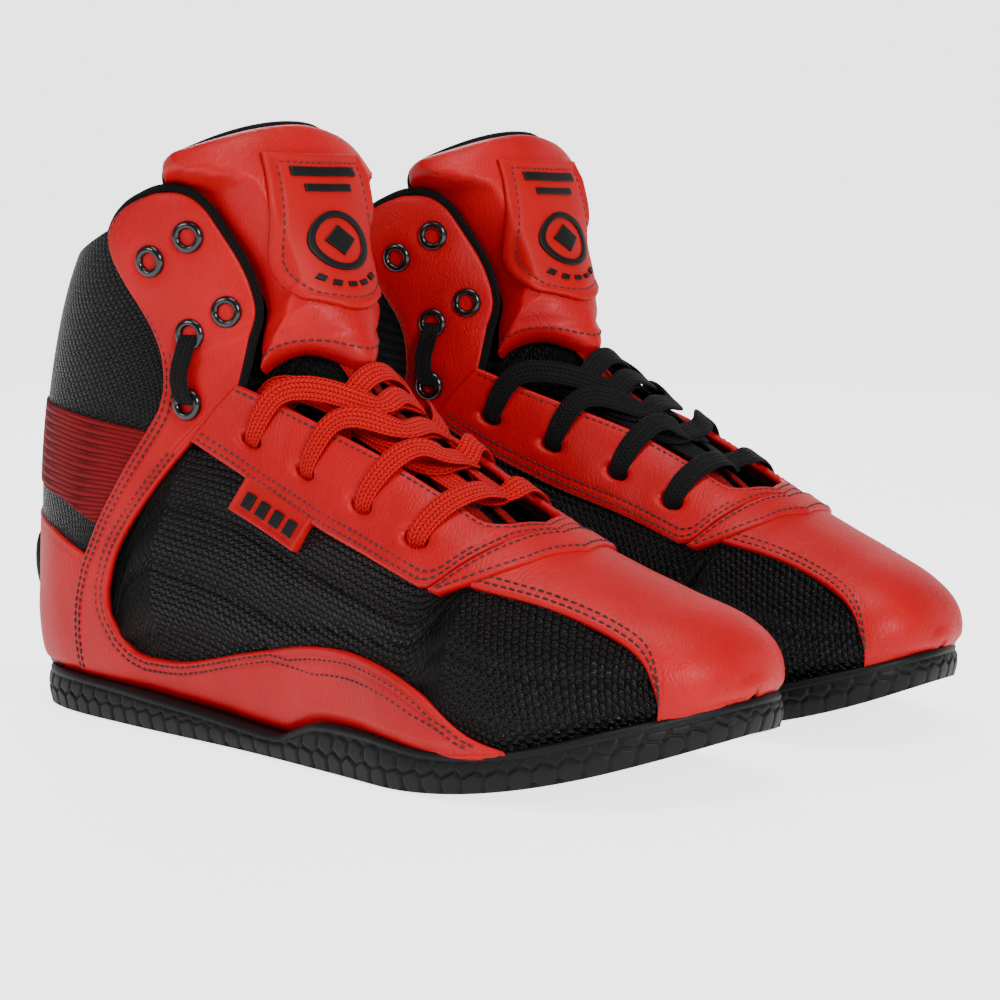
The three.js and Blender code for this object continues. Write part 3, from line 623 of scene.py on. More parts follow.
lean = sums(weave, "ADD", fy, sums(weave, "MULTIPLY", fx, given["Slant"]))
ply = sums(weave, "MULTIPLY", sums(weave, "MULTIPLY", lean, given["Plies"]), 2 * math.pi)
ply = sums(weave, "SINE", ply)
weave.links.new(sums(weave, "ADD", dome, sums(weave, "MULTIPLY", ply, 0.12)), gives["Height"])
weave.links.new(sums(weave, "LESS_THAN", dome, 0.35), gives["Gap"])
weave.links.new(ply, gives["Ply"])


def cloth(name, dark, light, size, slant=0.5, plies=3.0, depth=0.4, rough=0.85, sheen=0.1, uneven=0.5,
          specular=0.2):
    """Woven cloth: painted shade in the gaps between the yarns and painted highlight on their crowns.
    """
    material, tree, shader = new_material(name)
    shader.inputs["Sheen Weight"].default_value = sheen
    shader.inputs["Sheen Roughness"].default_value = 0.5
    shader.inputs["Specular IOR Level"].default_value = specular
    place = add_node(tree, "ShaderNodeTexCoord").outputs["UV"]
    yarn = add_node(tree, "ShaderNodeGroup", {"node_tree": weave})
    tree.links.new(place, yarn.inputs["Place"])
    for key, value in (("Long", size[0]), ("Tall", size[1]), ("Slant", slant), ("Plies", plies),
                       ("Uneven", uneven)):
        yarn.inputs[key].default_value = value
    cloud = add_node(tree, "ShaderNodeTexNoise", {"Scale": 55.0, "Detail": 4.0},
                     Vector=add_node(tree, "ShaderNodeTexCoord").outputs["Object"])
    height = sums(tree, "MULTIPLY", yarn.outputs["Height"],
                  sums(tree, "ADD", 0.6, sums(tree, "MULTIPLY", cloud.outputs["Fac"], 0.8)))
    # The yarn height sets the base colour: the dark tone is painted shade in the gaps, the light tone
    # is painted highlight on the crowns.
    drive(tree, shader, height, [dark, light], (0.25, 1.0), height,
          (min(rough + 0.1, 1.0), rough - 0.2), height, depth=depth)
    return material


# Lining: its darker tone is painted shade between the yarns, its lighter one is painted highlight on
# them.
lining_cloth = cloth("brushed_lining", (0.0004, 0.0004, 0.0004), (0.003, 0.003, 0.0033), (1.1, 0.8),
                     depth=0.15, sheen=0.03, specular=0.1)

# The collar line falls straight through these places from the flap's top to the back of the heel.
collar_line = chain(run(COLLAR_TOP, 60), span(run(COLLAR_TOP, 60)[-1], heel(156.5), 20))
collar_line[:, 1] = np.maximum.accumulate(collar_line[:, 1])
collar_row = both_sides(collar_line, math.pi)
collar_row = collar_row[np.argsort(collar_row[:, 1])]
throat_line = chain(run([[-33, 118.6], [-11, 110.6], [26, 97.5], [56, 83.2]], 60),
                    run([[56, 83.2], [66, 78.2], [71, 77.2]], 16),
                    span(run([[71, 77.2], [70, 77.4]], 1)[0], ridge(74), 10))
flap_down = chain(run(FLAP_FRONT, 60)[::-1], run([[-34, 117], [-45, 80], [-62, 12]], 60))
rear = Patch(flap_down, other_side(flap_down, math.pi), pitch=2.2, top_row=collar_row)
make_pieces("rear_lining", slab(rear, -1.3 - rolled(rear.near(), 0.8), -3.0), lining_cloth, "boot",
            ("quarter_lining_lateral", "quarter_lining_medial"))
floor_x = np.linspace(-60, 140, 87)
floor_z = np.interp(floor_x, [-60, -5, 60, 110, 140], [10, 8, 9, 18, 27])
front_floor = find(np.stack([floor_x, floor_z], -1))
front_top = chain(throat_line, span(ridge(74), [0.05, 0.0], len(front_floor) - len(throat_line)))
for sign, word in ((1, "lateral"), (-1, "medial")):
    half = Patch(front_top * [1, sign], front_floor * [1, sign], pitch=2.2)
    make_pieces(f"front_lining_{word}", slab(half, -1.3 - rolled(half.near(b=False), 0.8), -3.0),
                lining_cloth, "boot", (f"vamp_lining_{word}",))

# ---- Mesh of the vamp and of the shaft ----------------------------------------------------------
# Coarse black polyester mesh, lasted over the lining: a vamp from the toe to the heel quarter on each
# side, with soft quilted lines, and a rear piece round the back of the shaft.
# Mesh: near-black painted shade in the gaps, with a grey painted highlight on the yarn crowns.
mesh_cloth = cloth("coarse_mesh", (0.0001, 0.0001, 0.0001), (0.004, 0.0042, 0.0046), (3.1, 2.3),
                   slant=0.7, plies=2.0, depth=0.9, rough=0.4, sheen=0.0, specular=0.17)


def sole_top(x):
    """Height of the sidewall's top edge at x."""
    line = catmull(SIDEWALL_TOP, 10)
    return np.interp(x, line[:, 0], line[:, 1])


def sole_run(start, end, count, sunk=2.0):
    """Places just below the sole's edge from x = start to x = end."""
    x = np.linspace(start, end, count + 1)
    return find(np.stack([x, sole_top(x) - sunk], -1))


vamp_top = chain(run([[-88, 44], [-78, 66], [-66, 84], [-52, 98]], 50),
                 run([[-52, 98], [-25, 94], [6, 83.5], [38, 75], [62, 69], [72, 73]], 130),
                 span(run([[72, 73], [70, 73]], 1)[0], ridge(78), 10), span(ridge(78), [-0.1, 0.0], 80))
vamp_sole = chain(sole_run(-90, -50, 50), sole_run(-50, 66, 130), sole_run(66, 74, 10),
                  sole_run(74, 146, 60), span(sole_run(74, 146, 60)[-1], [-0.1, 3.0], 20))
QUILT = [(0.28, 0.6), (0.47, 0.75), (0.66, 0.6)]
for sign, word in ((1, "lateral"), (-1, "medial")):
    vamp = Patch(vamp_top * [1, sign], vamp_sole * [1, sign], pitch=1.5)
    across = vamp.to_a / vamp.wide
    swell = 0.9 * np.sin(np.clip(across, 0, 1) * math.pi * 4) ** 2
    top = 0.55 + swell * np.clip(vamp.wide / 60, 0, 1)
    for line, deep in QUILT:
        bend = 0.05 * np.sin(vamp.from_start / 38 + line * 9)
        top = top - deep * np.exp(-(((across - line - bend) * vamp.wide) / 1.5) ** 2)
    above = np.maximum(bare(vamp.u, vamp.phi)[..., 2] - sole_top(bare(vamp.u, vamp.phi)[..., 0]), 0)
    top = top - 1.2 * np.exp(-(above / 2.4) ** 2)
    make_pieces(f"vamp_mesh_{word}", slab(vamp, top, -0.4), mesh_cloth, "boot",
                ("vamp_mesh",) if sign > 0 else ())

back_front = run([[-72, 176.3], [-70, 161], [-61, 145], [-56, 131], [-55, 118], [-61, 104], [-74, 86],
                  [-87, 68], [-96, 50]], 150)
shaft = Patch(back_front, other_side(back_front, math.pi), pitch=1.5, top_row=collar_row)
puff = 0.5 * np.sin(np.clip(shaft.from_start / shaft.rows[-1], 0, 1) * math.pi)
make_pieces("shaft_mesh", slab(shaft, 1.0 + puff - rolled(shaft.near(), 1.1), -0.4), mesh_cloth, "boot",
            ("rear_mesh",))

# ---- Leather panels -----------------------------------------------------------------------------
# Red coated leather, about 1.2 mm, cut to shape, edges folded, and stitched down with black thread:
# heel counter, quarters with their collar flaps and sweeps, eyestay, vamp band and toe strip.
grain, given, gives = new_group("fine_creases", {"Place": None, "Scale": 1.0}, ("Height", "Tone"))
bend = add_node(grain, "ShaderNodeTexNoise", {"Scale": 75.0, "Detail": 2.0}, Vector=given["Place"])
moved = add_node(grain, "ShaderNodeVectorMath", {"operation": "SCALE", "Scale": 0.012})
grain.links.new(bend.outputs["Color"], moved.inputs[0])
warped = add_node(grain, "ShaderNodeVectorMath", {"operation": "ADD"})
grain.links.new(given["Place"], warped.inputs[0])
grain.links.new(moved.outputs[0], warped.inputs[1])
wave = add_node(grain, "ShaderNodeTexWave", {"Scale": 230.0, "Distortion": 9.0, "Detail": 3.0,
                                             "Detail Scale": 1.4}, Vector=warped.outputs[0])
pores = add_node(grain, "ShaderNodeTexVoronoi", {"Scale": 900.0}, Vector=given["Place"])
broad = add_node(grain, "ShaderNodeTexNoise", {"Scale": 28.0, "Detail": 5.0}, Vector=given["Place"])
height = sums(grain, "ADD", sums(grain, "MULTIPLY", wave.outputs["Fac"], 0.55),
              sums(grain, "MULTIPLY", pores.outputs["Distance"], 0.35))
grain.links.new(sums(grain, "MULTIPLY", height, given["Scale"]), gives["Height"])
grain.links.new(broad.outputs["Fac"], gives["Tone"])


def leather(name, low, high, depth=0.09, rough=0.42):
    """Coated leather: broad soft tone changes, fine creases and a thin satin coat."""
    material, tree, shader = new_material(name)
    shader.inputs["Coat Weight"].default_value = 0.03
    shader.inputs["Coat Roughness"].default_value = 0.3
    shader.inputs["Specular IOR Level"].default_value = 0.22
    place = add_node(tree, "ShaderNodeTexCoord").outputs["Object"]
    creases = add_node(tree, "ShaderNodeGroup", {"node_tree": grain})
    tree.links.new(place, creases.inputs["Place"])
    drive(tree, shader, creases.outputs["Tone"], [low, high], (0.3, 0.7), creases.outputs["Height"],
          (rough + 0.1, rough - 0.06), creases.outputs["Height"], depth=depth)
    return material


red_leather = leather("red_leather", (0.46, 0.0, 0.004), (0.60, 0.0, 0.007))


def thread(name, low, high):
    """Twisted thread: diagonal plies as relief, and the same wave as tone: painted shade between plies,
    painted highlight on them.
    """
    material, tree, shader = new_material(name)
    shader.inputs["Roughness"].default_value = 0.6
    place = add_node(tree, "ShaderNodeTexCoord").outputs["Object"]
    twist = add_node(tree, "ShaderNodeTexWave", {"Scale": 900.0, "Distortion": 2.0}, Vector=place)
    # The ply wave sets the base colour: painted shade in the grooves, painted highlight on the crowns.
    drive(tree, shader, twist.outputs["Fac"], [low, high], relief=twist.outputs["Fac"], strength=0.4,
          depth=0.1)
    return material


# Thread: its darker tone is painted shade between the plies, its lighter one is painted highlight on
# them.
black_thread = thread("black_thread", (0.004, 0.004, 0.005), (0.03, 0.03, 0.032))
STITCH = 2.0
STITCH_GAP = 0.75
THREAD = 0.34


def at_length(values, gone, where):
    """Vectors interpolated at distances along a line whose points have run gone so far."""
    return np.stack([np.interp(where, gone, values[:, k]) for k in range(3)], -1)


def stitch_row(name, rows, body="boot", material=None):
    """Stitches along rows of (places, lift): each is a short capsule, a profile of six points on eight
    rings, set at even steps along the row and turned to its direction."""
    angle = np.arange(6) * math.pi / 3
    ring = np.linspace(-1, 1, 8)
    fat = np.sqrt(np.clip(1 - np.abs(ring) ** 6, 0.02, 1)) * THREAD
    sink = -0.25 * np.abs(ring) ** 3
    local = np.stack([np.broadcast_to(ring[:, None] * STITCH / 2, (8, 6)),
                      fat[:, None] * np.cos(angle)[None],
                      fat[:, None] * np.sin(angle)[None] + sink[:, None]], -1).reshape(-1, 3)
    base = grid_faces(8, 6, closed_columns=True)
    points, faces, total = [], [], 0
    for places, lift in rows:
        lift = np.broadcast_to(lift, len(places))
        line = on_boot(places[:, 0], places[:, 1], lift)
        up = normal_at(places[:, 0], places[:, 1])
        gone = np.concatenate([[0], np.cumsum(np.linalg.norm(np.diff(line, axis=0), axis=1))])
        at = np.arange(STITCH, gone[-1] - STITCH / 2, STITCH + STITCH_GAP)
        if len(at) < 1:
            continue
        middle, top = at_length(line, gone, at), at_length(up, gone, at)
        ahead = at_length(line, gone, at + 0.4) - at_length(line, gone, at - 0.4)
        ahead /= np.linalg.norm(ahead, axis=1, keepdims=True) + 1e-9
        side_way = np.cross(top, ahead)
        side_way /= np.linalg.norm(side_way, axis=1, keepdims=True) + 1e-9
        frames = np.stack([ahead, side_way, np.cross(ahead, side_way)], 1)
        points.append((middle[:, None] + local @ frames).reshape(-1, 3))
        first = total + np.arange(len(at)) * len(local)
        faces.append((first[:, None, None] + base[None]).reshape(-1, 4))
        total += len(at) * len(local)
    return make_pieces(name, (np.concatenate(points), np.concatenate(faces), None),
                       material or black_thread, body)


def furrow(patch, insets, deep=0.22, wide=0.5):
    """Shallow trough pulled into a panel along stitch rows at these (edge, inset) distances."""
    dip = np.zeros(patch.shape)
    for edge, inset in insets:
        away = patch.to_a if edge == "a" else patch.to_b
        dip += deep * np.exp(-((away - inset) / wide) ** 2)
    return dip


def tuck(points):
    """The upper turns in under its own edge where it meets the sole."""
    above = np.maximum(points[..., 2] - sole_top(points[..., 0]), 0)
    return 1.9 * np.exp(-(above / 2.4) ** 2)


def creases(points, seed=0.0):
    """Soft uneven surface of worn-in leather: a few crossed sine waves."""
    x, y, z = np.moveaxis(points, -1, 0)
    return (0.16 * np.sin(x / 9 + z / 14 + seed) * np.sin(z / 11 - x / 17 + y / 23)
            + 0.10 * np.sin(x / 4.3 - z / 6.1 + seed * 2) * np.sin(z / 5.2 + x / 7.7))


# Heel counter and elastic ankle strap go on first, and the quarters lap over their front edges.
counter_top = chain(run([[-100, 58.8], [-104, 59.8], [-120, 65.5]], 40),
                    round_heel(find([[-120, 65.5]])[0], 73, 60))
counter_sole = chain(sole_run(-104, -138, 70), span(sole_run(-137, -138, 1)[-1], heel(13), 30))
counter = Patch(looped(counter_top, math.pi), looped(counter_sole, math.pi), pitch=1.5)
counter_lift = 2.2 - rolled(counter.near(b=False, ends=False), 1.0) - furrow(counter, [("a", 2.4)])
form = bare(counter.u, counter.phi)
counter_lift += creases(form, 1.0) - tuck(form)
make_pieces("heel_counter_leather", slab(counter, counter_lift, 0.4), red_leather, "boot",
            ("heel_counter",))

# Elastic: darker red painted shade between the ribs, lighter red painted highlight on them.
elastic = cloth("red_elastic", (0.10, 0.0, 0.002), (0.24, 0.0, 0.004), (60.0, 1.7), slant=0.0,
                plies=1.0, depth=0.25, rough=0.75, sheen=0.03, uneven=0.04, specular=0.12)
strap_top = chain(run([[-64, 102.5], [-95, 106.5], [-112, 109.2]], 40),
                  round_heel(find([[-112, 109.2]])[0], 113, 60))
strap_low = chain(run([[-89, 67], [-94.6, 69.5], [-116, 77]], 40),
                  round_heel(find([[-116, 77]])[0], 84, 60))
strap = Patch(looped(strap_top, math.pi), looped(strap_low, math.pi), pitch=1.2)
make_pieces("ankle_strap_elastic", slab(strap, 2.1 - rolled(strap.near(ends=False), 0.9), 0.5),
            elastic, "boot", ("ankle_strap",))

# Quarter with its collar flap above and its sweep along the sole, one skin on each side.
QUARTER_BACK = [[-65, 181.4], [-72.5, 178.2], [-78.2, 173.4], [-79.6, 168], [-77.2, 160], [-68.5, 145],
                [-63, 131], [-62, 118]]
quarter_back = chain(
    run(QUARTER_BACK, 60), run([[-62, 118], [-64, 111], [-68, 105]], 16),
    run([[-68, 105], [-81, 88], [-94, 70], [-103, 55]], 50),
    run([[-103, 55], [-108, 42], [-110.5, 26], [-111, 11.5]], 30),
    sole_run(-111, -76, 30), sole_run(-76, 99, 170))
quarter_front = chain(
    run([[-60, 183.2], [-52.5, 183.3], [-47, 180.4], [-42.8, 175], [-36.5, 162], [-31, 145],
         [-32.5, 133], [-34, 116]], 60),
    run([[-34, 116], [-50, 101]], 16),
    run([[-50, 101], [-67, 83], [-84, 62], [-90, 47]], 50),
    run([[-90, 47], [-89.6, 39], [-85, 31]], 30), run([[-85, 31], [-78.5, 26.6], [-71, 25]], 30),
    run([[-71, 25], [-50, 26], [-18, 33], [15, 39], [42, 39], [66, 33], [86, 21.5], [98, 17]], 170))
EYELETS = np.array([[-49.5, 169], [-62.5, 161], [-39.5, 144], [-51.5, 136.5], [-52.5, 113]], float)
for sign, word in ((1, "lateral"), (-1, "medial")):
    quarter = Patch(quarter_back * [1, sign], quarter_front * [1, sign], pitch=1.3)
    form = bare(quarter.u, quarter.phi)
    lift = 2.9 + creases(form, 2.0 * sign)
    flap = np.clip((form[..., 2] - 118) / 14, 0, 1)
    puffed = np.clip(np.minimum(quarter.near(ends=False), quarter.from_start) / 9, 0, 1)
    lift += flap * 0.9 * np.sin(puffed * math.pi / 2)
    fold = form[..., 2] - 128 - 0.45 * (form[..., 0] + 48)
    lift -= 0.55 * np.exp(-(fold / 1.3) ** 2) * np.clip((form[..., 0] + 56) / 12, 0, 1)
    for x, z in EYELETS:
        away = np.hypot(form[..., 0] - x, form[..., 2] - z)
        lift -= 0.9 * np.exp(-(away / 6.5) ** 4)
    lift -= furrow(quarter, [("a", 2.0), ("a", 4.6)])
    lift -= np.where(form[..., 2] > 118, 0.0, furrow(quarter, [("b", 2.0), ("b", 4.4)]))
    lift -= rolled(quarter.near(ends=False), 1.2) + tuck(form)
    make_pieces(f"quarter_leather_{word}", slab(quarter, lift, 0.6), red_leather, "boot",
                (f"quarter_{word}",))
    rows = [(quarter.seam(2.0, "a", 0.01, 0.55), 2.85), (quarter.seam(4.6, "a", 0.01, 0.55), 2.95),
            (quarter.seam(2.0, "b", 0.27, 0.985), 2.85), (quarter.seam(4.4, "b", 0.27, 0.97), 2.85)]
    stitch_row(f"quarter_stitches_{word}", rows)

# Eyestay: one piece round the throat, lapped over the quarters, with four punched lace holes a side.
stay_throat = chain(run([[-34.5, 119.8], [-11, 111.3], [26, 98.3], [56, 84]], 90),
                    run([[56, 84], [66, 79], [71, 78]], 18), span(find([[71, 78]])[0], ridge(74.5), 14))
stay_low = chain(run([[-51, 100.6], [-27, 89.5], [4, 78], [36, 69], [60, 61.5]], 90),
                 run([[60, 61.5], [65.4, 62.6], [71.5, 69.4], [76.5, 74.2]], 18),
                 span(find([[76.5, 74.2]])[0], ridge(81), 14))
stay = Patch(looped(stay_throat), looped(stay_low), pitch=1.0)
LACE_HOLES = np.array([[52, 74.5], [28, 83.5], [0, 92.5], [-26, 101.5]])
form = bare(stay.u, stay.phi)
lift = 3.4 + creases(form, 4.0) + 0.5 * np.sin(np.clip(stay.to_a / stay.wide, 0, 1) * math.pi)
slope = math.atan2(LACE_HOLES[0, 1] - LACE_HOLES[3, 1], LACE_HOLES[0, 0] - LACE_HOLES[3, 0])
for x, z in LACE_HOLES:
    dx, dz = form[..., 0] - x, form[..., 2] - z
    long = dx * math.cos(slope) + dz * math.sin(slope)
    tall = -dx * math.sin(slope) + dz * math.cos(slope)
    away = np.sqrt((long / 4.4) ** 2 + (tall / 2.0) ** 2)
    lift -= 4.6 / (1 + np.exp((away - 0.95) * 14))
    lift -= 0.7 * np.exp(-((away - 1.0) / 0.55) ** 2)
lift -= rolled(stay.near(), 1.4) + furrow(stay, [("a", 2.4), ("b", 2.0), ("b", 4.4)])
make_pieces("eyestay_leather", slab(stay, lift, 0.7), red_leather, "boot", ("eyestay",))
stitch_row("eyestay_stitches", [(stay.seam(2.4, "a", 0.015, 0.985), 3.45),
                                (stay.seam(2.0, "b", 0.015, 0.985), 3.45),
                                (stay.seam(4.4, "b", 0.015, 0.42), 3.6),
                                (stay.seam(4.4, "b", 0.58, 0.985), 3.6)])

# Toe strip down the middle of the toe, and the band that covers its join with the eyestay.
strip_edge = chain(run([[76, 62.5], [99, 57.5], [119, 50.5], [130, 44], [135, 35], [135.6, 25.5]], 90),
                   sole_run(135.6, 146.5, 20),
                   span(sole_run(146, 146.5, 1)[-1], [-NOSE + 0.01, 2.9], 14))
strip_crown = np.linspace(strip_edge[0, 0], -NOSE + 0.01, 60)
strip = Patch(strip_edge, other_side(strip_edge), pitch=1.2, middle=70, crown=strip_crown)
form = bare(strip.u, strip.phi)
lift = 2.7 + creases(form, 6.0) * 0.6 - rolled(strip.near(ends=False), 1.2) - tuck(form)
lift -= furrow(strip, [("a", 2.2), ("b", 2.2), ("a", 4.6), ("b", 4.6)])
make_pieces("toe_strip_leather", slab(strip, lift, 0.6), red_leather, "boot",
            ("toe_strip",))
stitch_row("toe_stitches", [(strip.seam(d, e, 0.0, 0.68)[:-2], 2.72) for d in (2.2, 4.6) for e in "ab"])

band_rear = chain(run([[64, 60.6], [66, 62.2], [72, 68.6], [77, 73.6]], 30),
                  span(find([[77, 73.6]])[0], ridge(80), 14))
band_front = chain(run([[68, 59.8], [78, 63.8], [86, 67.8]], 30),
                   span(find([[86, 67.8]])[0], ridge(91), 14))
band = Patch(looped(band_rear), looped(band_front), pitch=0.9)
form = bare(band.u, band.phi)
lift = 4.3 + creases(form, 8.0) * 0.6 - rolled(band.near(), 1.3)
lift -= furrow(band, [("a", 1.6), ("b", 1.8)])
make_pieces("vamp_band_leather", slab(band, lift, 0.7), red_leather, "boot",
            ("vamp_band",))
stitch_row("band_stitches", [(band.seam(1.6, "a", 0.03, 0.97), 4.25),
                             (band.seam(1.8, "b", 0.03, 0.97), 4.25)])

# ---- Piping of the collar flaps -----------------------------------------------------------------
# Braided black cord, about 3.5 mm thick, folded into the seam between a flap's leather and its lining.
# It runs from the throat's corner up the flap's front edge, over its top and down to the shaft's mesh.
braid, given, gives = new_group("herringbone", {"Place": None, "Long": 1.6, "Wide": 1.0}, ("Height",))
split = add_node(braid, "ShaderNodeSeparateXYZ", Vector=given["Place"])
x = sums(braid, "DIVIDE", sums(braid, "MULTIPLY", split.outputs["X"], 1000.0), given["Long"])
y = sums(braid, "DIVIDE", sums(braid, "MULTIPLY", split.outputs["Y"], 1000.0), given["Wide"])
column = sums(braid, "FLOOR", y)
turn = sums(braid, "MULTIPLY", sums(braid, "FLOORED_MODULO", column, 2.0), 2.0)
turn = sums(braid, "SUBTRACT", turn, 1.0)
fy = sums(braid, "SUBTRACT", sums(braid, "FRACT", y), 0.5)
lean = sums(braid, "ADD", x, sums(braid, "MULTIPLY", sums(braid, "MULTIPLY", fy, turn), 0.9))
rib = sums(braid, "ABSOLUTE", sums(braid, "SINE", sums(braid, "MULTIPLY", lean, 3.14159)))
edge = sums(braid, "POWER", sums(braid, "ABSOLUTE", sums(braid, "MULTIPLY", fy, 2.0)), 4.0)
edge = sums(braid, "SUBTRACT", 1.0, edge)
braid.links.new(sums(braid, "MULTIPLY", sums(braid, "SQRT", rib), edge), gives["Height"])


def braided(name, dark, light, long=1.6, wide=1.0, depth=0.3, rough=0.7, specular=0.3):
    """Braided yarn: ribs that lean one way and the other in turn, painted shade between them, painted
    highlight on them.
    """
    material, tree, shader = new_material(name)
    shader.inputs["Sheen Weight"].default_value = 0.02
    shader.inputs["Specular IOR Level"].default_value = specular
    yarn = add_node(tree, "ShaderNodeGroup", {"node_tree": braid})
    tree.links.new(add_node(tree, "ShaderNodeTexCoord").outputs["UV"], yarn.inputs["Place"])
    yarn.inputs["Long"].default_value, yarn.inputs["Wide"].default_value = long, wide
    fuzz = add_node(tree, "ShaderNodeTexNoise", {"Scale": 700.0, "Detail": 3.0},
                    Vector=add_node(tree, "ShaderNodeTexCoord").outputs["Object"])
    height = sums(tree, "MULTIPLY", fuzz.outputs["Fac"], 0.25)
    height = sums(tree, "ADD", yarn.outputs["Height"], height)
    # The rib height sets the base colour: painted shade between the ribs, painted highlight on their
    # crowns.
    drive(tree, shader, height, [dark, light], (0.15, 0.9), height, (rough + 0.15, rough), height,
          depth=depth)
    return material


# Piping braid: painted shade between the ribs, painted highlight on them.
black_braid = braided("black_braid", (0.0003, 0.0003, 0.0003), (0.004, 0.004, 0.0043),
                      specular=0.14)


def swept(line, up, profile, closed=False):
    """A closed profile of (across, up) offsets carried along a line, square to it, with the given up
    direction. profile may change from point to point. Ends are drawn in to a point."""
    if closed:
        ahead = np.roll(line, -1, 0) - np.roll(line, 1, 0)
    else:
        ahead = np.gradient(line, axis=0)
    ahead /= np.linalg.norm(ahead, axis=1, keepdims=True) + 1e-9
    across = np.cross(ahead, up)
    across /= np.linalg.norm(across, axis=1, keepdims=True) + 1e-9
    top = np.cross(across, ahead)
    profile = np.broadcast_to(profile, (len(line),) + np.shape(profile)[-2:])
    points = line[:, None] + profile[..., :1] * across[:, None] + profile[..., 1:] * top[:, None]
    if not closed:
        points = np.concatenate([line[:1, None].repeat(points.shape[1], 1), points,
                                 line[-1:, None].repeat(points.shape[1], 1)])
    gone = np.concatenate([[0], np.cumsum(np.linalg.norm(np.diff(line, axis=0), axis=1))])
    gone = gone if closed else np.concatenate([gone[:1], gone, gone[-1:]])
    girth = np.linalg.norm(np.diff(profile[0], axis=0, append=profile[0][:1]), axis=1)
    around = np.concatenate([[0], np.cumsum(girth)[:-1]])
    uv = np.stack(np.broadcast_arrays(gone[:, None], around[None, :]), -1)
    faces = grid_faces(points.shape[0], points.shape[1], closed_rows=closed, closed_columns=True)
    return points, faces, uv


def joined(*shapes):
    """Several grids as one piece."""
    start, points, faces, uv = 0, [], [], []
    for p, f, t in shapes:
        points.append(p.reshape(-1, 3))
        faces.append(f + start)
        uv.append(t.reshape(-1, 2) if t is not None else np.zeros((points[-1].shape[0], 2)))
        start += len(points[-1])
    return np.concatenate(points), np.concatenate(faces), np.concatenate(uv)


def ring_profile(radius, sides=14):
    """A round profile."""
    angle = np.arange(sides) * 2 * math.pi / sides
    return np.stack([np.cos(angle), np.sin(angle)], -1) * radius


def smoothed(line, taps=9):
    """Moving average of that many points along a line, its ends held."""
    return np.stack([np.convolve(np.pad(values, taps // 2, mode="edge"), np.ones(taps) / taps, "valid")
                     for values in line.T], -1)


PIPE = 1.75
pipe_run = run([[-35, 114], [-33, 122], [-31.8, 133], [-30.2, 145], [-35.6, 162], [-42, 175.4],
                [-46.4, 181.4], [-52.4, 184.6], [-60, 184.6], [-66, 182.4], [-73.4, 179.2],
                [-79.6, 174.2], [-82.4, 170]], 140)
pipe_lift = 0.9 - 2.2 * np.linspace(0, 1, 141) ** 8
pipes = []
for sign in (1, -1):
    line = on_boot(pipe_run[:, 0], pipe_run[:, 1] * sign, pipe_lift)
    outward = normal_at(pipe_run[:, 0], pipe_run[:, 1] * sign)
    pipes.append(swept(smoothed(line), outward, ring_profile(PIPE)))
make_pieces("flap_piping", joined(*pipes), black_braid, "boot")

# ---- Collar pad ---------------------------------------------------------------------------------
# Foam roll inside the collar's rear half, covered with the lining cloth: thick along the rim, thinning
# down to a seam about 40 mm below it, and held by the lining.
pad_line = both_sides(chain(run([[-66, 177.5], [-80, 171.5], [-100, 164.6], [-120, 159.4]], 60),
                            span(run([[-119, 159.6], [-120, 159.4]], 1)[-1], heel(156.2), 20)), math.pi)
pad_rim = on_boot(pad_line[:, 0], pad_line[:, 1], 0.0)
PAD_SHAPE = np.array([  # down from the rim, lift
    [5, 0.3], [1.5, 0.7], [-1.2, -0.6], [-2.4, -3.2], [-1.6, -6.2], [1.2, -8.4], [6, -9.3], [14, -9.0],
    [24, -7.6], [33, -5.6], [40, -4.2], [42, -3.6], [38, -3.0], [20, -2.8]], float)
shape_line = catmull(PAD_SHAPE, 5, closed=True)
share = np.linspace(0, 1, len(pad_line))
fade = np.clip(np.minimum(share, 1 - share) * 9, 0.15, 1)
one_down = bare(pad_line[:, 0] - 1, pad_line[:, 1])
per_section = np.linalg.norm(bare(pad_line[:, 0], pad_line[:, 1]) - one_down, axis=1)
fall = shape_line[None, :, 0] * np.where(shape_line[None, :, 0] > 0, fade[:, None], 1)
bulk = 1 + 0.06 * np.sin(share * 60)[:, None]
rise = np.where(shape_line[None, :, 1] < -3, -3 + (shape_line[None, :, 1] + 3) * fade[:, None] * bulk,
                shape_line[None, :, 1])
points = on_boot(pad_line[:, :1] - fall / per_section[:, None], pad_line[:, 1:] + 0 * fall, rise)
gone = np.concatenate([[0], np.cumsum(np.linalg.norm(np.diff(pad_rim, axis=0), axis=1))])
around = np.concatenate([[0], np.cumsum(np.linalg.norm(np.diff(shape_line, axis=0), axis=1))])
uv = np.stack(np.broadcast_arrays(gone[:, None], around[None, :]), -1)
ends = points[[0, -1]].mean(1, keepdims=True)
ends = ends.repeat(points.shape[1], 1)
points = np.concatenate([ends[:1], points, ends[1:]])
uv = np.concatenate([uv[:1], uv, uv[-1:]])
pad_shape = (points, grid_faces(*points.shape[:2], closed_columns=True), uv)
for pad in make_pieces("collar_pad_roll", pad_shape, lining_cloth, "boot",
                       ("collar_pad",)):
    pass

# ---- Tongue -------------------------------------------------------------------------------------
# Below, a sleeve of ribbed black cloth with two red webbing stripes. Above its seam, the head: a foam
# pad in red leather with piping over its top, a turned hem at its foot, black lining behind and a
# moulded shield stitched on.
# Ribbed cloth: painted shade between the ribs, painted highlight on them.
rib_cloth = cloth("ribbed_tongue_cloth", (0.0002, 0.0002, 0.0002), (0.006, 0.006, 0.0065), (5.0, 1.3),
                  slant=0.3, plies=1.0, depth=0.5, rough=0.65, sheen=0.02, specular=0.15)
FOLD_LOW, FOLD_HIGH = (-3, 0, 124), (-3, 0, 142)
sleeve_u = np.linspace(4.35, 11.6, 120)
width_there = np.interp(sleeve_u, np.arange(LAST + 1), SECTIONS[:, 4])
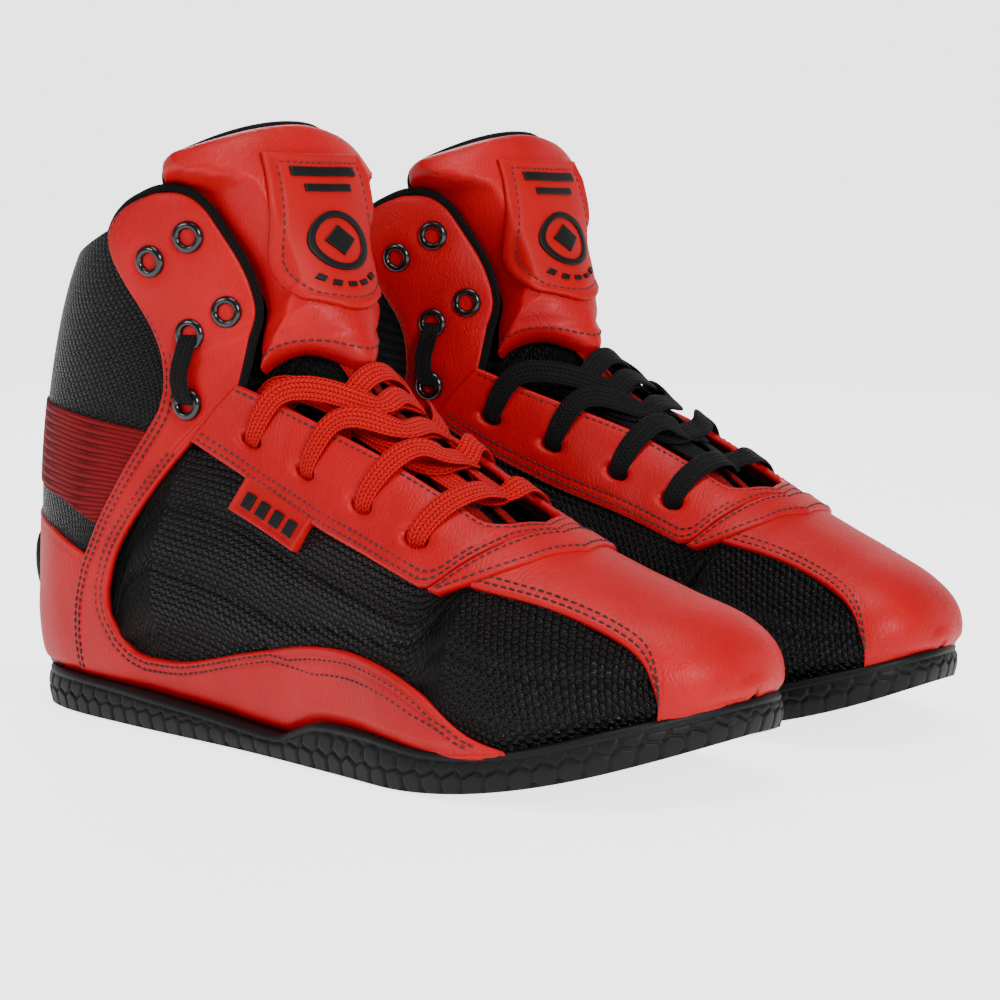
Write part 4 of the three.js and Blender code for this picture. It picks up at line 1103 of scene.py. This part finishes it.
sleeve_edge = np.stack([sleeve_u, np.arcsin(np.clip(25.5 / width_there, 0, 0.98))], -1)
sleeve = Patch(sleeve_edge, other_side(sleeve_edge), pitch=1.4)
swell = 0.35 * np.sin(sleeve.from_start * 2 * math.pi / 4.4)
make_pieces("tongue_sleeve", slab(sleeve, -7.9 + swell - rolled(sleeve.near(), 1.2), -10.6),
            rib_cloth, "boot", ("tongue_cloth",), (FOLD_LOW, FOLD_HIGH))
# Webbing: dark red painted shade between the ribs, bright red painted highlight on them.
red_webbing = braided("red_webbing", (0.16, 0.001, 0.002), (0.62, 0.004, 0.006), long=2.0, wide=1.1,
                      depth=0.4)
stripe_share = np.linspace(0, 1, 110)
stripes = []
for turn in (-0.09, 0.17):
    places = np.stack([np.linspace(4.7, 8.75, 110), turn * (1 + 0.1 * stripe_share)], -1)
    line = on_boot(*places.T, -6.2 + 0.5 * np.sin(stripe_share * 22))
    flat = np.array([[-2.3, 0], [-2.1, 0.5], [0, 0.65], [2.1, 0.5], [2.3, 0], [2.1, -0.5], [0, -0.5],
                     [-2.1, -0.5]])
    stripes.append(swept(line, normal_at(*places.T), flat))
make_pieces("tongue_stripes", joined(*stripes), red_webbing, "boot",
            bend=(FOLD_LOW, FOLD_HIGH))

head_edge = run([[-28, 124.3], [-29, 133], [-28.9, 146], [-36, 158], [-46, 168], [-54, 178],
                 [-58.6, 187], [-59.4, 191.6], [-57.4, 194.2], [-53.5, 196.6]], 140)
head_crown = np.linspace(ridge(2)[0], LAST - 0.02, 100)
flap_front = run(FLAP_FRONT, 60)
WIDTH_RADIUS = 40.0
FLAP_UNDER = -3.5
head = Patch(head_edge, other_side(head_edge), pitch=1.3, crown=head_crown)
form = bare(head.u, head.phi)
edge_in = head.near()
crowned = 2.4 * np.sqrt(1 - (1 - np.clip(edge_in / 16, 0, 1)) ** 2)
full = np.clip(edge_in / 15, 0, 1) ** 0.7
fuller = (3.0 + 8.5 * np.sin(np.clip(np.abs(head.phi) * 1.75, 0, math.pi)) ** 2) * full
head_lift = 0.2 + crowned + fuller - rolled(edge_in, 3.2) * 0.8
flap_phi = np.interp(head.u, *flap_front[np.argsort(flap_front[:, 0])].T)
behind = (np.abs(head.phi) - flap_phi) * WIDTH_RADIUS
clear_of_flap = np.clip((form[..., 2] - 183.0) / 8, 0, 1) ** 2 * 14
head_lift = np.minimum(head_lift, FLAP_UNDER + 1.25 * np.maximum(-behind - 1.5, 0) + clear_of_flap)
form_y, form_z = form[..., 1], form[..., 2]
head_lift += 0.28 * np.sin(form_z / 7 + form_y / 9) * np.sin(form_y / 6 - form_z / 15)
hem = head.from_start
head_lift -= 0.9 * np.exp(-((hem - 5.0) / 1.0) ** 2) + 0.5 * np.clip(1 - hem / 5.0, 0, 1)
head_bottom = -7.8 - 0.8 * np.sqrt(np.clip(edge_in / 16, 0, 1)) + rolled(edge_in, 3.2) * 0.8
for pad in make_pieces("tongue_head_pad", slab(head, head_lift, head_bottom), red_leather,
                       "tongue_head", ("tongue_pad",)):
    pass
make_pieces("tongue_head_lining", slab(head, head_bottom + 0.5, head_bottom - 0.7), lining_cloth,
            "tongue_head")
hem_t = np.linspace(0.03, 0.97, 80)
hem_row = int(np.argmin(np.abs(head.rows - 3.2)))
column = np.interp(hem_t, np.linspace(0, 1, head.shape[1]), np.arange(head.shape[1]))
hem_places = np.stack([np.interp(column, np.arange(head.shape[1]), grid[hem_row])
                       for grid in (head.u, head.phi)], -1)
hem_lift = np.interp(column, np.arange(head.shape[1]), head_lift[hem_row]) + 0.12
stitch_row("tongue_hem_stitches", [(hem_places, hem_lift)], body="tongue_head")
top_row = head.shape[0] - 3
side_rows = slice(int(head.shape[0] * 0.72), top_row)
rim_u, rim_phi = (np.concatenate([grid[side_rows, 0], grid[top_row, 1:-1], grid[side_rows, -1][::-1]])
                  for grid in (head.u, head.phi))
line, _ = evenly(on_boot(rim_u, rim_phi, -2.6), 170)
aside = np.broadcast_to(np.array([0.8, 0.0, 0.6]), line.shape)
make_pieces("tongue_piping", swept(smoothed(line), aside, ring_profile(2.0)), black_braid,
            "tongue_head")

# Gussets: folded black cloth that joins the tongue's sides to the flaps' linings, behind the head pad.
gusset_out = run([[-33, 119.5], [-35, 133], [-38, 147], [-50, 158], [-57, 166], [-61, 172]], 80)
gusset_in = np.stack([gusset_out[:, 0], gusset_out[:, 1] - 0.42], -1)
for sign, word in ((1, "lateral"), (-1, "medial")):
    gusset = Patch(gusset_out * [1, sign], gusset_in * [1, sign], pitch=1.6)
    dive = np.clip(gusset.to_a / 9, 0, 1)
    top = -3.6 - 7.2 * dive ** 0.8 + 0.35 * np.sin(gusset.from_start / 4.1)
    make_pieces(f"tongue_gusset_{word}", slab(gusset, top, top - 1.2), lining_cloth, "boot")

# Shield: soft moulded rubber with a raised rim, a row of black stitches inside it, and raised marks.
red_rubber, tree, shader = new_material("red_rubber")
shader.inputs["Specular IOR Level"].default_value = 0.22
place = add_node(tree, "ShaderNodeTexCoord").outputs["Object"]
mottle = add_node(tree, "ShaderNodeTexNoise", {"Scale": 60.0, "Detail": 3.0}, Vector=place)
fine = add_node(tree, "ShaderNodeTexNoise", {"Scale": 1400.0, "Detail": 2.0}, Vector=place)
drive(tree, shader, mottle.outputs["Fac"], [(0.44, 0.0, 0.002), (0.56, 0.0, 0.004)],
      gloss=fine.outputs["Fac"], rough=(0.42, 0.58), relief=fine.outputs["Fac"], strength=0.3,
      depth=0.1)

SHIELD_HALF, SHIELD_TOP, SHIELD_SHOULDER, SHIELD_FOOT = 18.5, 195.0, 161.0, 142.0


def front_places(y, z):
    """Places on the front of the boot form for a front view's y and z, from a smooth grid between
    solved points: the angle follows y and the section follows the height."""
    phi = np.arcsin(np.clip(-y / 38.0, -0.95, 0.95))
    u = np.interp(z, bare(np.linspace(7, LAST, 400), 0.0)[:, 2], np.linspace(7, LAST, 400))
    for _ in range(14):
        miss_y, miss_z = y - bare(u, phi)[..., 1], z - bare(u, phi)[..., 2]
        du = (bare(u + 1e-3, phi) - bare(u - 1e-3, phi)) / 2e-3
        dp = (bare(u, phi + 1e-3) - bare(u, phi - 1e-3)) / 2e-3
        det = du[..., 1] * dp[..., 2] - du[..., 2] * dp[..., 1]
        det = np.where(np.abs(det) < 1, np.sign(det) + (det == 0), det)
        step_u = (miss_y * dp[..., 2] - miss_z * dp[..., 1]) / det
        step_p = (du[..., 1] * miss_z - du[..., 2] * miss_y) / det
        u = np.clip(u + np.clip(step_u, -0.3, 0.3), 6, LAST)
        phi = np.clip(phi + np.clip(step_p, -0.15, 0.15), -1.4, 1.4)
    return u, phi


def head_height(y, z):
    """Lift of the padded head's face at a front view's y and z, read from the pad's own grid."""
    _, flat_y, flat_z = form.reshape(-1, 3).T
    flat_lift = head_lift.reshape(-1)
    out = np.empty(y.size)
    for start in range(0, y.size, 2000):
        part = slice(start, start + 2000)
        away = (y.ravel()[part, None] - flat_y) ** 2 + (z.ravel()[part, None] - flat_z) ** 2
        near = np.argpartition(away, 4, axis=1)[:, :4]
        weight = 1 / (np.take_along_axis(away, near, 1) + 0.5)
        out[part] = (flat_lift[near] * weight).sum(1) / weight.sum(1)
    return out.reshape(y.shape)


def shield_half(z):
    """Half width of the shield at height z: straight sides, then an elliptical foot."""
    low = np.clip((SHIELD_SHOULDER - z) / (SHIELD_SHOULDER - SHIELD_FOOT), 0, 1)
    return SHIELD_HALF * np.sqrt(np.clip(1 - low ** 2, 0, 1))


def shield_border(y, z):
    """Distance inside the shield's outline."""
    low = np.hypot(y / SHIELD_HALF, (SHIELD_SHOULDER - z) / (SHIELD_SHOULDER - SHIELD_FOOT))
    foot = (1 - low) * (SHIELD_SHOULDER - SHIELD_FOOT)
    side = SHIELD_HALF - np.abs(y)
    return np.maximum(np.minimum(SHIELD_TOP - z, np.where(z < SHIELD_SHOULDER, foot, side)), 0)


def plate(y, z, top, bottom, carrier):
    """Closed plate over a front-view grid: outer face at top, inner face at bottom above the
    carrier."""
    u, phi = front_places(y, z)
    base = carrier(y, z)
    outer = on_boot(u, phi, base + top)
    inner = on_boot(u, phi, base + bottom)[:, ::-1]
    points = np.concatenate([outer, inner], 1)
    points[[0, -1]] = np.concatenate([inner[:, ::-1], inner], 1)[[0, -1]]
    uv = np.stack([np.concatenate([y, y[:, ::-1]], 1), np.concatenate([z, z[:, ::-1]], 1)], -1)
    return points, grid_faces(*points.shape[:2], closed_columns=True), uv


PLATE_THICK = 1.7
rows_z = np.unique(np.concatenate([SHIELD_TOP - RIM, np.linspace(SHIELD_TOP - 1.5, SHIELD_SHOULDER, 40),
                                   SHIELD_SHOULDER - (SHIELD_SHOULDER - SHIELD_FOOT)
                                   * np.sin(np.linspace(0, 1, 40) * math.pi / 2)]))[::-1]
half = np.maximum(shield_half(rows_z), 0.4)[:, None]
inner = np.linspace(-1, 1, 61)[None, :]
rim_y = RIM[None, :-1] * np.minimum(1, half / 3)
y = np.concatenate([-half + rim_y, inner * np.maximum(half - RIM[-1], 0.1), half - rim_y[:, ::-1]], 1)
z = np.broadcast_to(rows_z[:, None], y.shape)
border = shield_border(y, z)
relief = PLATE_THICK + 0.75 / (1 + np.exp((border - 1.9) * 6)) - rolled(border, 0.8)
relief -= 0.3 * np.exp(-((border - 3.3) / 0.4) ** 2)


def soft_head(y, z):
    """Lift of the shield's bed: the head's face, a little evened out."""
    return head_height(y, z) * 0.9 + 0.5


shield = plate(y, z, relief, -0.6, soft_head)
make_pieces("tongue_shield", shield, red_rubber, "tongue_head", ("tongue_badge",))
angle = np.linspace(0, math.pi, 120)
inset = 3.3
side_y, top_z = SHIELD_HALF - inset, SHIELD_TOP - inset
path_y = np.concatenate([np.full(60, -side_y), -side_y * np.cos(angle), np.full(60, side_y),
                         np.linspace(side_y, -side_y, 60)])
path_z = np.concatenate([np.linspace(top_z, SHIELD_SHOULDER, 60),
                         SHIELD_SHOULDER - (SHIELD_SHOULDER - SHIELD_FOOT - inset) * np.sin(angle),
                         np.linspace(SHIELD_SHOULDER, top_z, 60), np.full(60, top_z)])
u, phi = front_places(path_y, path_z)
stitch_row("shield_stitches", [(np.stack([u, phi], -1), soft_head(path_y, path_z) + 1.45)],
           body="tongue_head")


def raised(centre, size, turn=0.0, corner=0.35, thick=0.8):
    """A small raised plate: a rectangle grid turned about its middle, with its rim rounded down."""
    a = np.linspace(-1, 1, 17)
    edge = np.sign(a) * (1 - (1 - np.abs(a)) ** 1.8)
    gy, gz = np.meshgrid(edge * size[0] / 2, edge * size[1] / 2)
    near = np.minimum(size[0] / 2 - np.abs(gy), size[1] / 2 - np.abs(gz))
    y = centre[0] + gy * math.cos(turn) - gz * math.sin(turn)
    z = centre[1] + gy * math.sin(turn) + gz * math.cos(turn)
    return plate(y, z, PLATE_THICK + thick - rolled(near, corner), 1.2, soft_head)


def ring_plate(centre, inner, outer, thick=0.8):
    """A flat raised ring."""
    turn = np.linspace(0, 2 * math.pi, 72)
    across = np.array([0, 0.1, 0.3, 0.7, 0.9, 1.0])
    r = inner + (outer - inner) * across
    y = centre[0] + r[None, :] * np.cos(turn)[:, None]
    z = centre[1] + r[None, :] * np.sin(turn)[:, None]
    near = np.minimum(r - inner, outer - r)[None, :]
    shape = plate(y, z, PLATE_THICK + thick - rolled(near, 0.35), 1.2, soft_head)
    shape[0][[0, -1]] = shape[0][[1, -2]].mean(0)
    return shape


marks = [raised((0, 188.5), (24, 3.2)), raised((0, 183.0), (17, 2.4)),
         ring_plate((0, 165.5), 7.6, 9.8), raised((0, 165.5), (7.2, 7.2), math.pi / 4)]
for turn in np.linspace(-0.62, 0.62, 5):
    centre = (13.54 * math.sin(turn), 166.1 - 15.6 * math.cos(turn))
    marks.append(raised(centre, (2.4, 2.0), turn))
make_pieces("shield_marks", joined(*marks), rubber, "tongue_head")

# ---- Eyelets ------------------------------------------------------------------------------------
# Five gloss black enamelled metal eyelets a side on each flap: a rolled flange over the leather and a
# barrel through it, clinched on the tape behind.
enamel, tree, shader = new_material("black_enamel")
shader.inputs["Coat Weight"].default_value = 0.6
shader.inputs["Coat Roughness"].default_value = 0.06
place = add_node(tree, "ShaderNodeTexCoord").outputs["Object"]
haze = add_node(tree, "ShaderNodeTexNoise", {"Scale": 400.0, "Detail": 3.0}, Vector=place)
drive(tree, shader, haze.outputs["Fac"], [(0.002, 0.002, 0.0025), (0.008, 0.008, 0.009)],
      gloss=haze.outputs["Fac"], rough=(0.12, 0.26))

FLANGE = np.array([[2.9, -1.2], [2.7, 1.6], [2.75, 3.4], [3.0, 4.1], [3.5, 4.55], [4.1, 4.6],
                   [4.75, 4.35], [5.25, 3.8], [5.45, 3.1], [5.3, 2.6], [3.4, 2.4], [3.3, -1.2]])
FLAP_PUFF = -0.1


def turned(place, sign, profile, steps=48, lift=0.0):
    """A turned ring: the profile of (radius, height) spun about the form's normal at one place."""
    u, phi = place[0], place[1] * sign
    centre = bare(u, phi)
    axis = normal_at(u, phi)
    first = np.cross(axis, [0.0, 0.0, 1.0])
    first /= np.linalg.norm(first)
    second = np.cross(axis, first)
    turn = np.arange(steps) * 2 * math.pi / steps
    out = first * np.cos(turn)[:, None] + second * np.sin(turn)[:, None]
    points = centre + out[:, None] * profile[None, :, :1] + axis * (profile[None, :, 1:] + lift)
    uv = np.stack(np.broadcast_arrays(turn[:, None] * 5, np.arange(len(profile))[None, :] * 1.0), -1)
    return points, grid_faces(steps, len(profile), closed_rows=True, closed_columns=True), uv


eyelet_places = find(EYELETS)
ring_line = catmull(FLANGE, 3, closed=True)
for sign, word in ((1, "lateral"), (-1, "medial")):
    rings = [turned(place, sign, ring_line, lift=FLAP_PUFF) for place in eyelet_places]
    make_pieces(f"eyelet_rings_{word}", joined(*rings), enamel, "boot",
                (f"eyelets_{word}",))

# ---- Laces --------------------------------------------------------------------------------------
# Flat tubular polyester braid, 8.6 mm wide: it rises from a punched hole, crosses over the tongue
# and dives under the far side of the throat to the next hole. Red on the right boot, black on the left.
# Laces: the first tone of each is painted shade between the ribs, the second is painted highlight on
# them.
red_braid = braided("red_lace", (0.20, 0.0, 0.001), (0.66, 0.0, 0.004), long=1.5, wide=1.05,
                    depth=0.35, specular=0.12)
black_lace = braided("black_lace", (0.0003, 0.0003, 0.0003), (0.006, 0.006, 0.0064), long=1.5,
                     wide=1.05, depth=0.35, specular=0.15)
LACE_HALF = 4.3
LACE_THICK = 1.4


def lace_profile():
    """Flat braid: a long rounded bar, thicker along its two edges than in its middle."""
    angle = np.arange(28) * 2 * math.pi / 28
    x = np.sign(np.cos(angle)) * np.abs(np.cos(angle)) ** 0.5 * LACE_HALF
    y = np.sign(np.sin(angle)) * np.abs(np.sin(angle)) ** 0.75 * LACE_THICK / 2
    return np.stack([x, y * (1 - 0.25 * np.exp(-(x / (LACE_HALF * 0.55)) ** 2))], -1)


def strand(stops, width=1.0):
    """Flat braid along a smooth curve through stops of section, angle and lift."""
    line = catmull(stops, 12)
    points = on_boot(line[:, 0], line[:, 1], line[:, 2])
    up = normal_at(line[:, 0], line[:, 1])
    both, _ = evenly(np.concatenate([points, up * LACE_HALF], 1), len(points) * 2)
    both = smoothed(both, 21)
    points, up = both[:, :3], both[:, 3:] / LACE_HALF
    share = np.linspace(0, 1, len(points))
    pinch = 1 - 0.38 * np.exp(-(share / 0.07) ** 2) - 0.2 * np.exp(-((1 - share) / 0.07) ** 2)
    profile = lace_profile()[None] * np.stack([pinch * width, 1 + (1 - pinch) * 0.9], -1)[:, None]
    return swept(points, up, profile)


STAY_EDGE = np.array([[58, 86.5], [35, 99.5], [8, 109], [-17, 117.5]])
RIDGE_AT = [4.95, 5.55, 6.1, 6.62]
hole_at, edge_at = find(LACE_HOLES), find(STAY_EDGE)
last_at = find([[-31, 109]])[0]
corner_at = find([[-26, 117]])[0]
strands = []
for sign in (1, -1):
    for i in range(len(LACE_HOLES)):
        hole_u, hole_phi = hole_at[i]
        edge_u, edge_phi = edge_at[i]
        next_edge = edge_at[i + 1] if i < 3 else corner_at
        next_hole = hole_at[i + 1] if i < 3 else last_at
        over = 0.5 if sign > 0 else -1.5
        start_u, start_phi = hole_u - 0.02, hole_phi + 0.045
        strands.append(strand([
            [start_u, start_phi * sign, -2.5], [hole_u, (hole_phi + 0.02) * sign, 2.6],
            [hole_u + (edge_u - hole_u) * 0.35, (hole_phi + (edge_phi - hole_phi) * 0.35) * sign, 4.9],
            [edge_u, edge_phi * sign, 4.5], [RIDGE_AT[i] - 0.06, edge_phi * sign * 0.45, over + 1.0],
            [RIDGE_AT[i], 0, over], [RIDGE_AT[i] + 0.05, -next_edge[1] * sign * 0.5, over * 0.4 - 1.2],
            [next_edge[0], -next_edge[1] * sign * 0.93, -3.6],
            [(next_edge[0] + next_hole[0]) / 2, -(next_edge[1] + next_hole[1]) / 2 * sign, -4.6],
            [next_hole[0], -next_hole[1] * sign, -4.6]]))
first_u, first_phi = hole_at[0]
strands.append(strand([[first_u, first_phi, -4.6], [4.45, first_phi * 0.6, -4.4], [4.4, 0, -4.2],
                       [4.45, -first_phi * 0.6, -4.4], [first_u, -first_phi, -4.6]]))
strands.append(strand([[6.62, 0.88, -4.5], [6.85, 0.66, -2.2], [7.0, 0.33, 0.4], [7.03, 0, 1.3],
                       [7.0, -0.33, 0.4], [6.85, -0.66, -2.2], [6.62, -0.88, -4.5]]))
make_pieces("main_lace", joined(*strands), {"right": red_braid, "left": black_lace}, "boot",
            ("lace_main",))

# A short black lace joins the two lowest eyelets of each flap.
upper, lower = eyelet_places[3], eyelet_places[4]
for sign, word in ((1, "lateral"), (-1, "medial")):
    share = np.array([0.0, 0.03, 0.16, 0.5, 0.84, 0.97, 1.0])
    aside = np.array([0, 0, 0, 0.02, 0, 0, 0])
    lift = np.array([-1.5, 3.8, 6.2, 6.9, 6.2, 3.8, -1.5])
    turn = (upper[1] + (lower[1] - upper[1]) * share + aside) * sign
    loop = strand(np.stack([upper[0] + (lower[0] - upper[0]) * share, turn, lift], -1), width=0.78)
    make_pieces(f"flap_lace_{word}", loop, black_lace, "boot", (f"lace_top_{word}",))

# ---- Side tag and heel tab ----------------------------------------------------------------------
# The tag is a red rubber plate sewn under the eyestay on the lateral side, with raised black marks. The
# heel tab is an oval of black rubber with a raised rim, bonded to the back of the counter.
tag_low = run([[-31.6, 78.8], [1.8, 67.4]], 40)
tag_top = run([[-24.6, 90.0], [9.2, 78.2]], 40)
tag = Patch(tag_low, tag_top, pitch=0.8)
tag_lift = 3.6 - rolled(tag.near(), 0.9) + 0.5 / (1 + np.exp((tag.near(b=False) - 1.5) * 7))
make_pieces("side_tag_plate", slab(tag, tag_lift, 1.0), red_rubber, "boot", ("side_tag",))
marks = []
for start in (0.13, 0.34, 0.55, 0.76):
    row = np.linspace(start, start + 0.13, 20)
    low, top = (np.stack([np.interp(row, np.linspace(0, 1, len(e)), e[:, k]) for k in (0, 1)], -1)
                for e in (tag_low, tag_top))
    mark = Patch(low + (top - low) * 0.24, low + (top - low) * 0.66, pitch=0.6)
    marks.append(slab(mark, 4.5 - rolled(mark.near(), 0.5), 3.0))
make_pieces("side_tag_marks", joined(*marks), rubber, "boot")

tab_turn = np.linspace(0, 2 * math.pi, 97)[:-1]
tab_share = np.array([0.0, 0.3, 0.6, 0.72, 0.78, 0.84, 0.9, 0.95, 0.985, 1.0])
TAB_Z, TAB_TALL, TAB_WIDE = 48.0, 17.0, 16.5
tab_y = TAB_WIDE * tab_share[None, :] * np.cos(tab_turn)[:, None]
tab_z = TAB_Z + TAB_TALL * tab_share[None, :] * np.sin(tab_turn)[:, None]
tab_u = np.interp(tab_z, bare(np.linspace(9, LAST, 800), math.pi)[:, 2], np.linspace(9, LAST, 800))
tab_phi = math.pi + tab_y / 36.5
tab_lift = np.array([5.2, 5.2, 5.1, 4.9, 5.2, 5.8, 5.9, 5.6, 4.9, 4.2])[None, :] + 0 * tab_y
tab_outer = on_boot(tab_u, tab_phi, tab_lift)
tab_inner = on_boot(tab_u, tab_phi, 1.8 + 0 * tab_lift)[:, ::-1]
tab_points = np.concatenate([tab_outer, tab_inner], 1)
tab_uv = np.stack([np.concatenate([grid, grid[:, ::-1]], 1) for grid in (tab_y, tab_z)], -1)
tab_shape = (tab_points, grid_faces(*tab_points.shape[:2], closed_rows=True), tab_uv)
make_pieces("heel_tab_oval", tab_shape, rubber, "boot", ("heel_tab",))

# ---- Sockliner and the hidden layers -------------------------------------------------------------
# The sockliner is a moulded foam sheet faced with black cloth, laid loose on the insole board. Midsole,
# board and heel stiffener stay as in the frame, each with its own material.
liner_x = np.linspace(-140, 140, 120)
liner_curve, _ = evenly(catmull(SOLE_PLAN, 24, closed=True), 900, closed=True)
halves = (liner_curve[liner_curve[:, 1] < 4], liner_curve[liner_curve[:, 1] > -4])
low_y, high_y = (line[np.abs(line[None, :, 0] - liner_x[:, None]).argmin(1), 1] for line in halves)
FOOTBED = np.array([[-165, 12.5], [-70, 11], [-5, 8], [60, 9.5], [85, 12.5], [110, 18], [165, 33]])
bed = np.interp(liner_x, FOOTBED[:, 0], FOOTBED[:, 1])
side_share = np.concatenate([[-1, -0.995, -0.98], np.linspace(-0.96, 0.96, 40), [0.98, 0.995, 1]])
mid_y, half_y = (low_y + high_y) / 2, np.maximum((high_y - low_y) / 2 - 7.5, 1.0)
liner_y = mid_y[:, None] + half_y[:, None] * side_share[None, :]
end_fade = np.sqrt(np.clip(1 - np.linspace(-1, 1, 120) ** 20, 0, 1))[:, None]
cup = 1.2 * np.abs(side_share[None, :]) ** 6
thick = 4.2 * np.sqrt(np.clip(1 - np.abs(side_share) ** 40, 0, 1))[None, :] * end_fade
top_z = bed[:, None] + 2.7 + thick + cup
low_z = np.broadcast_to(bed[:, None] + 2.6, top_z.shape)
liner_top = np.stack([np.broadcast_to(liner_x[:, None], liner_y.shape), liner_y, top_z], -1)
liner_low = np.stack([np.broadcast_to(liner_x[:, None], liner_y.shape), liner_y, low_z], -1)[:, ::-1]
liner_points = np.concatenate([liner_top, liner_low], 1)
make_pieces("sockliner_sheet", (liner_points, grid_faces(*liner_points.shape[:2], closed_columns=True),
                          liner_points[..., :2]), lining_cloth, "boot", ("sockliner",))


def specked(name, low, high, scale, rough):
    """Plain hidden stock: two tones of fine noise, with the same noise as relief."""
    material, tree, shader = new_material(name)
    noise = add_node(tree, "ShaderNodeTexNoise", {"Scale": scale, "Detail": 5.0},
                     Vector=add_node(tree, "ShaderNodeTexCoord").outputs["Object"])
    drive(tree, shader, noise.outputs["Fac"], [low, high], gloss=noise.outputs["Fac"],
          rough=(rough, rough + 0.15), relief=noise.outputs["Fac"], strength=0.3)
    return material


foam = specked("closed_cell_foam", (0.008, 0.008, 0.009), (0.02, 0.02, 0.021), 1200.0, 0.8)
board = specked("fibre_board", (0.30, 0.25, 0.17), (0.48, 0.41, 0.30), 600.0, 0.75)
for side in SIDES:
    for node, stock in (("midsole", foam), ("insole_board", board), ("heel_stiffener", board)):
        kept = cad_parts[f"{side}_{node}"]
        kept.data.materials.clear()
        kept.data.materials.append(stock)
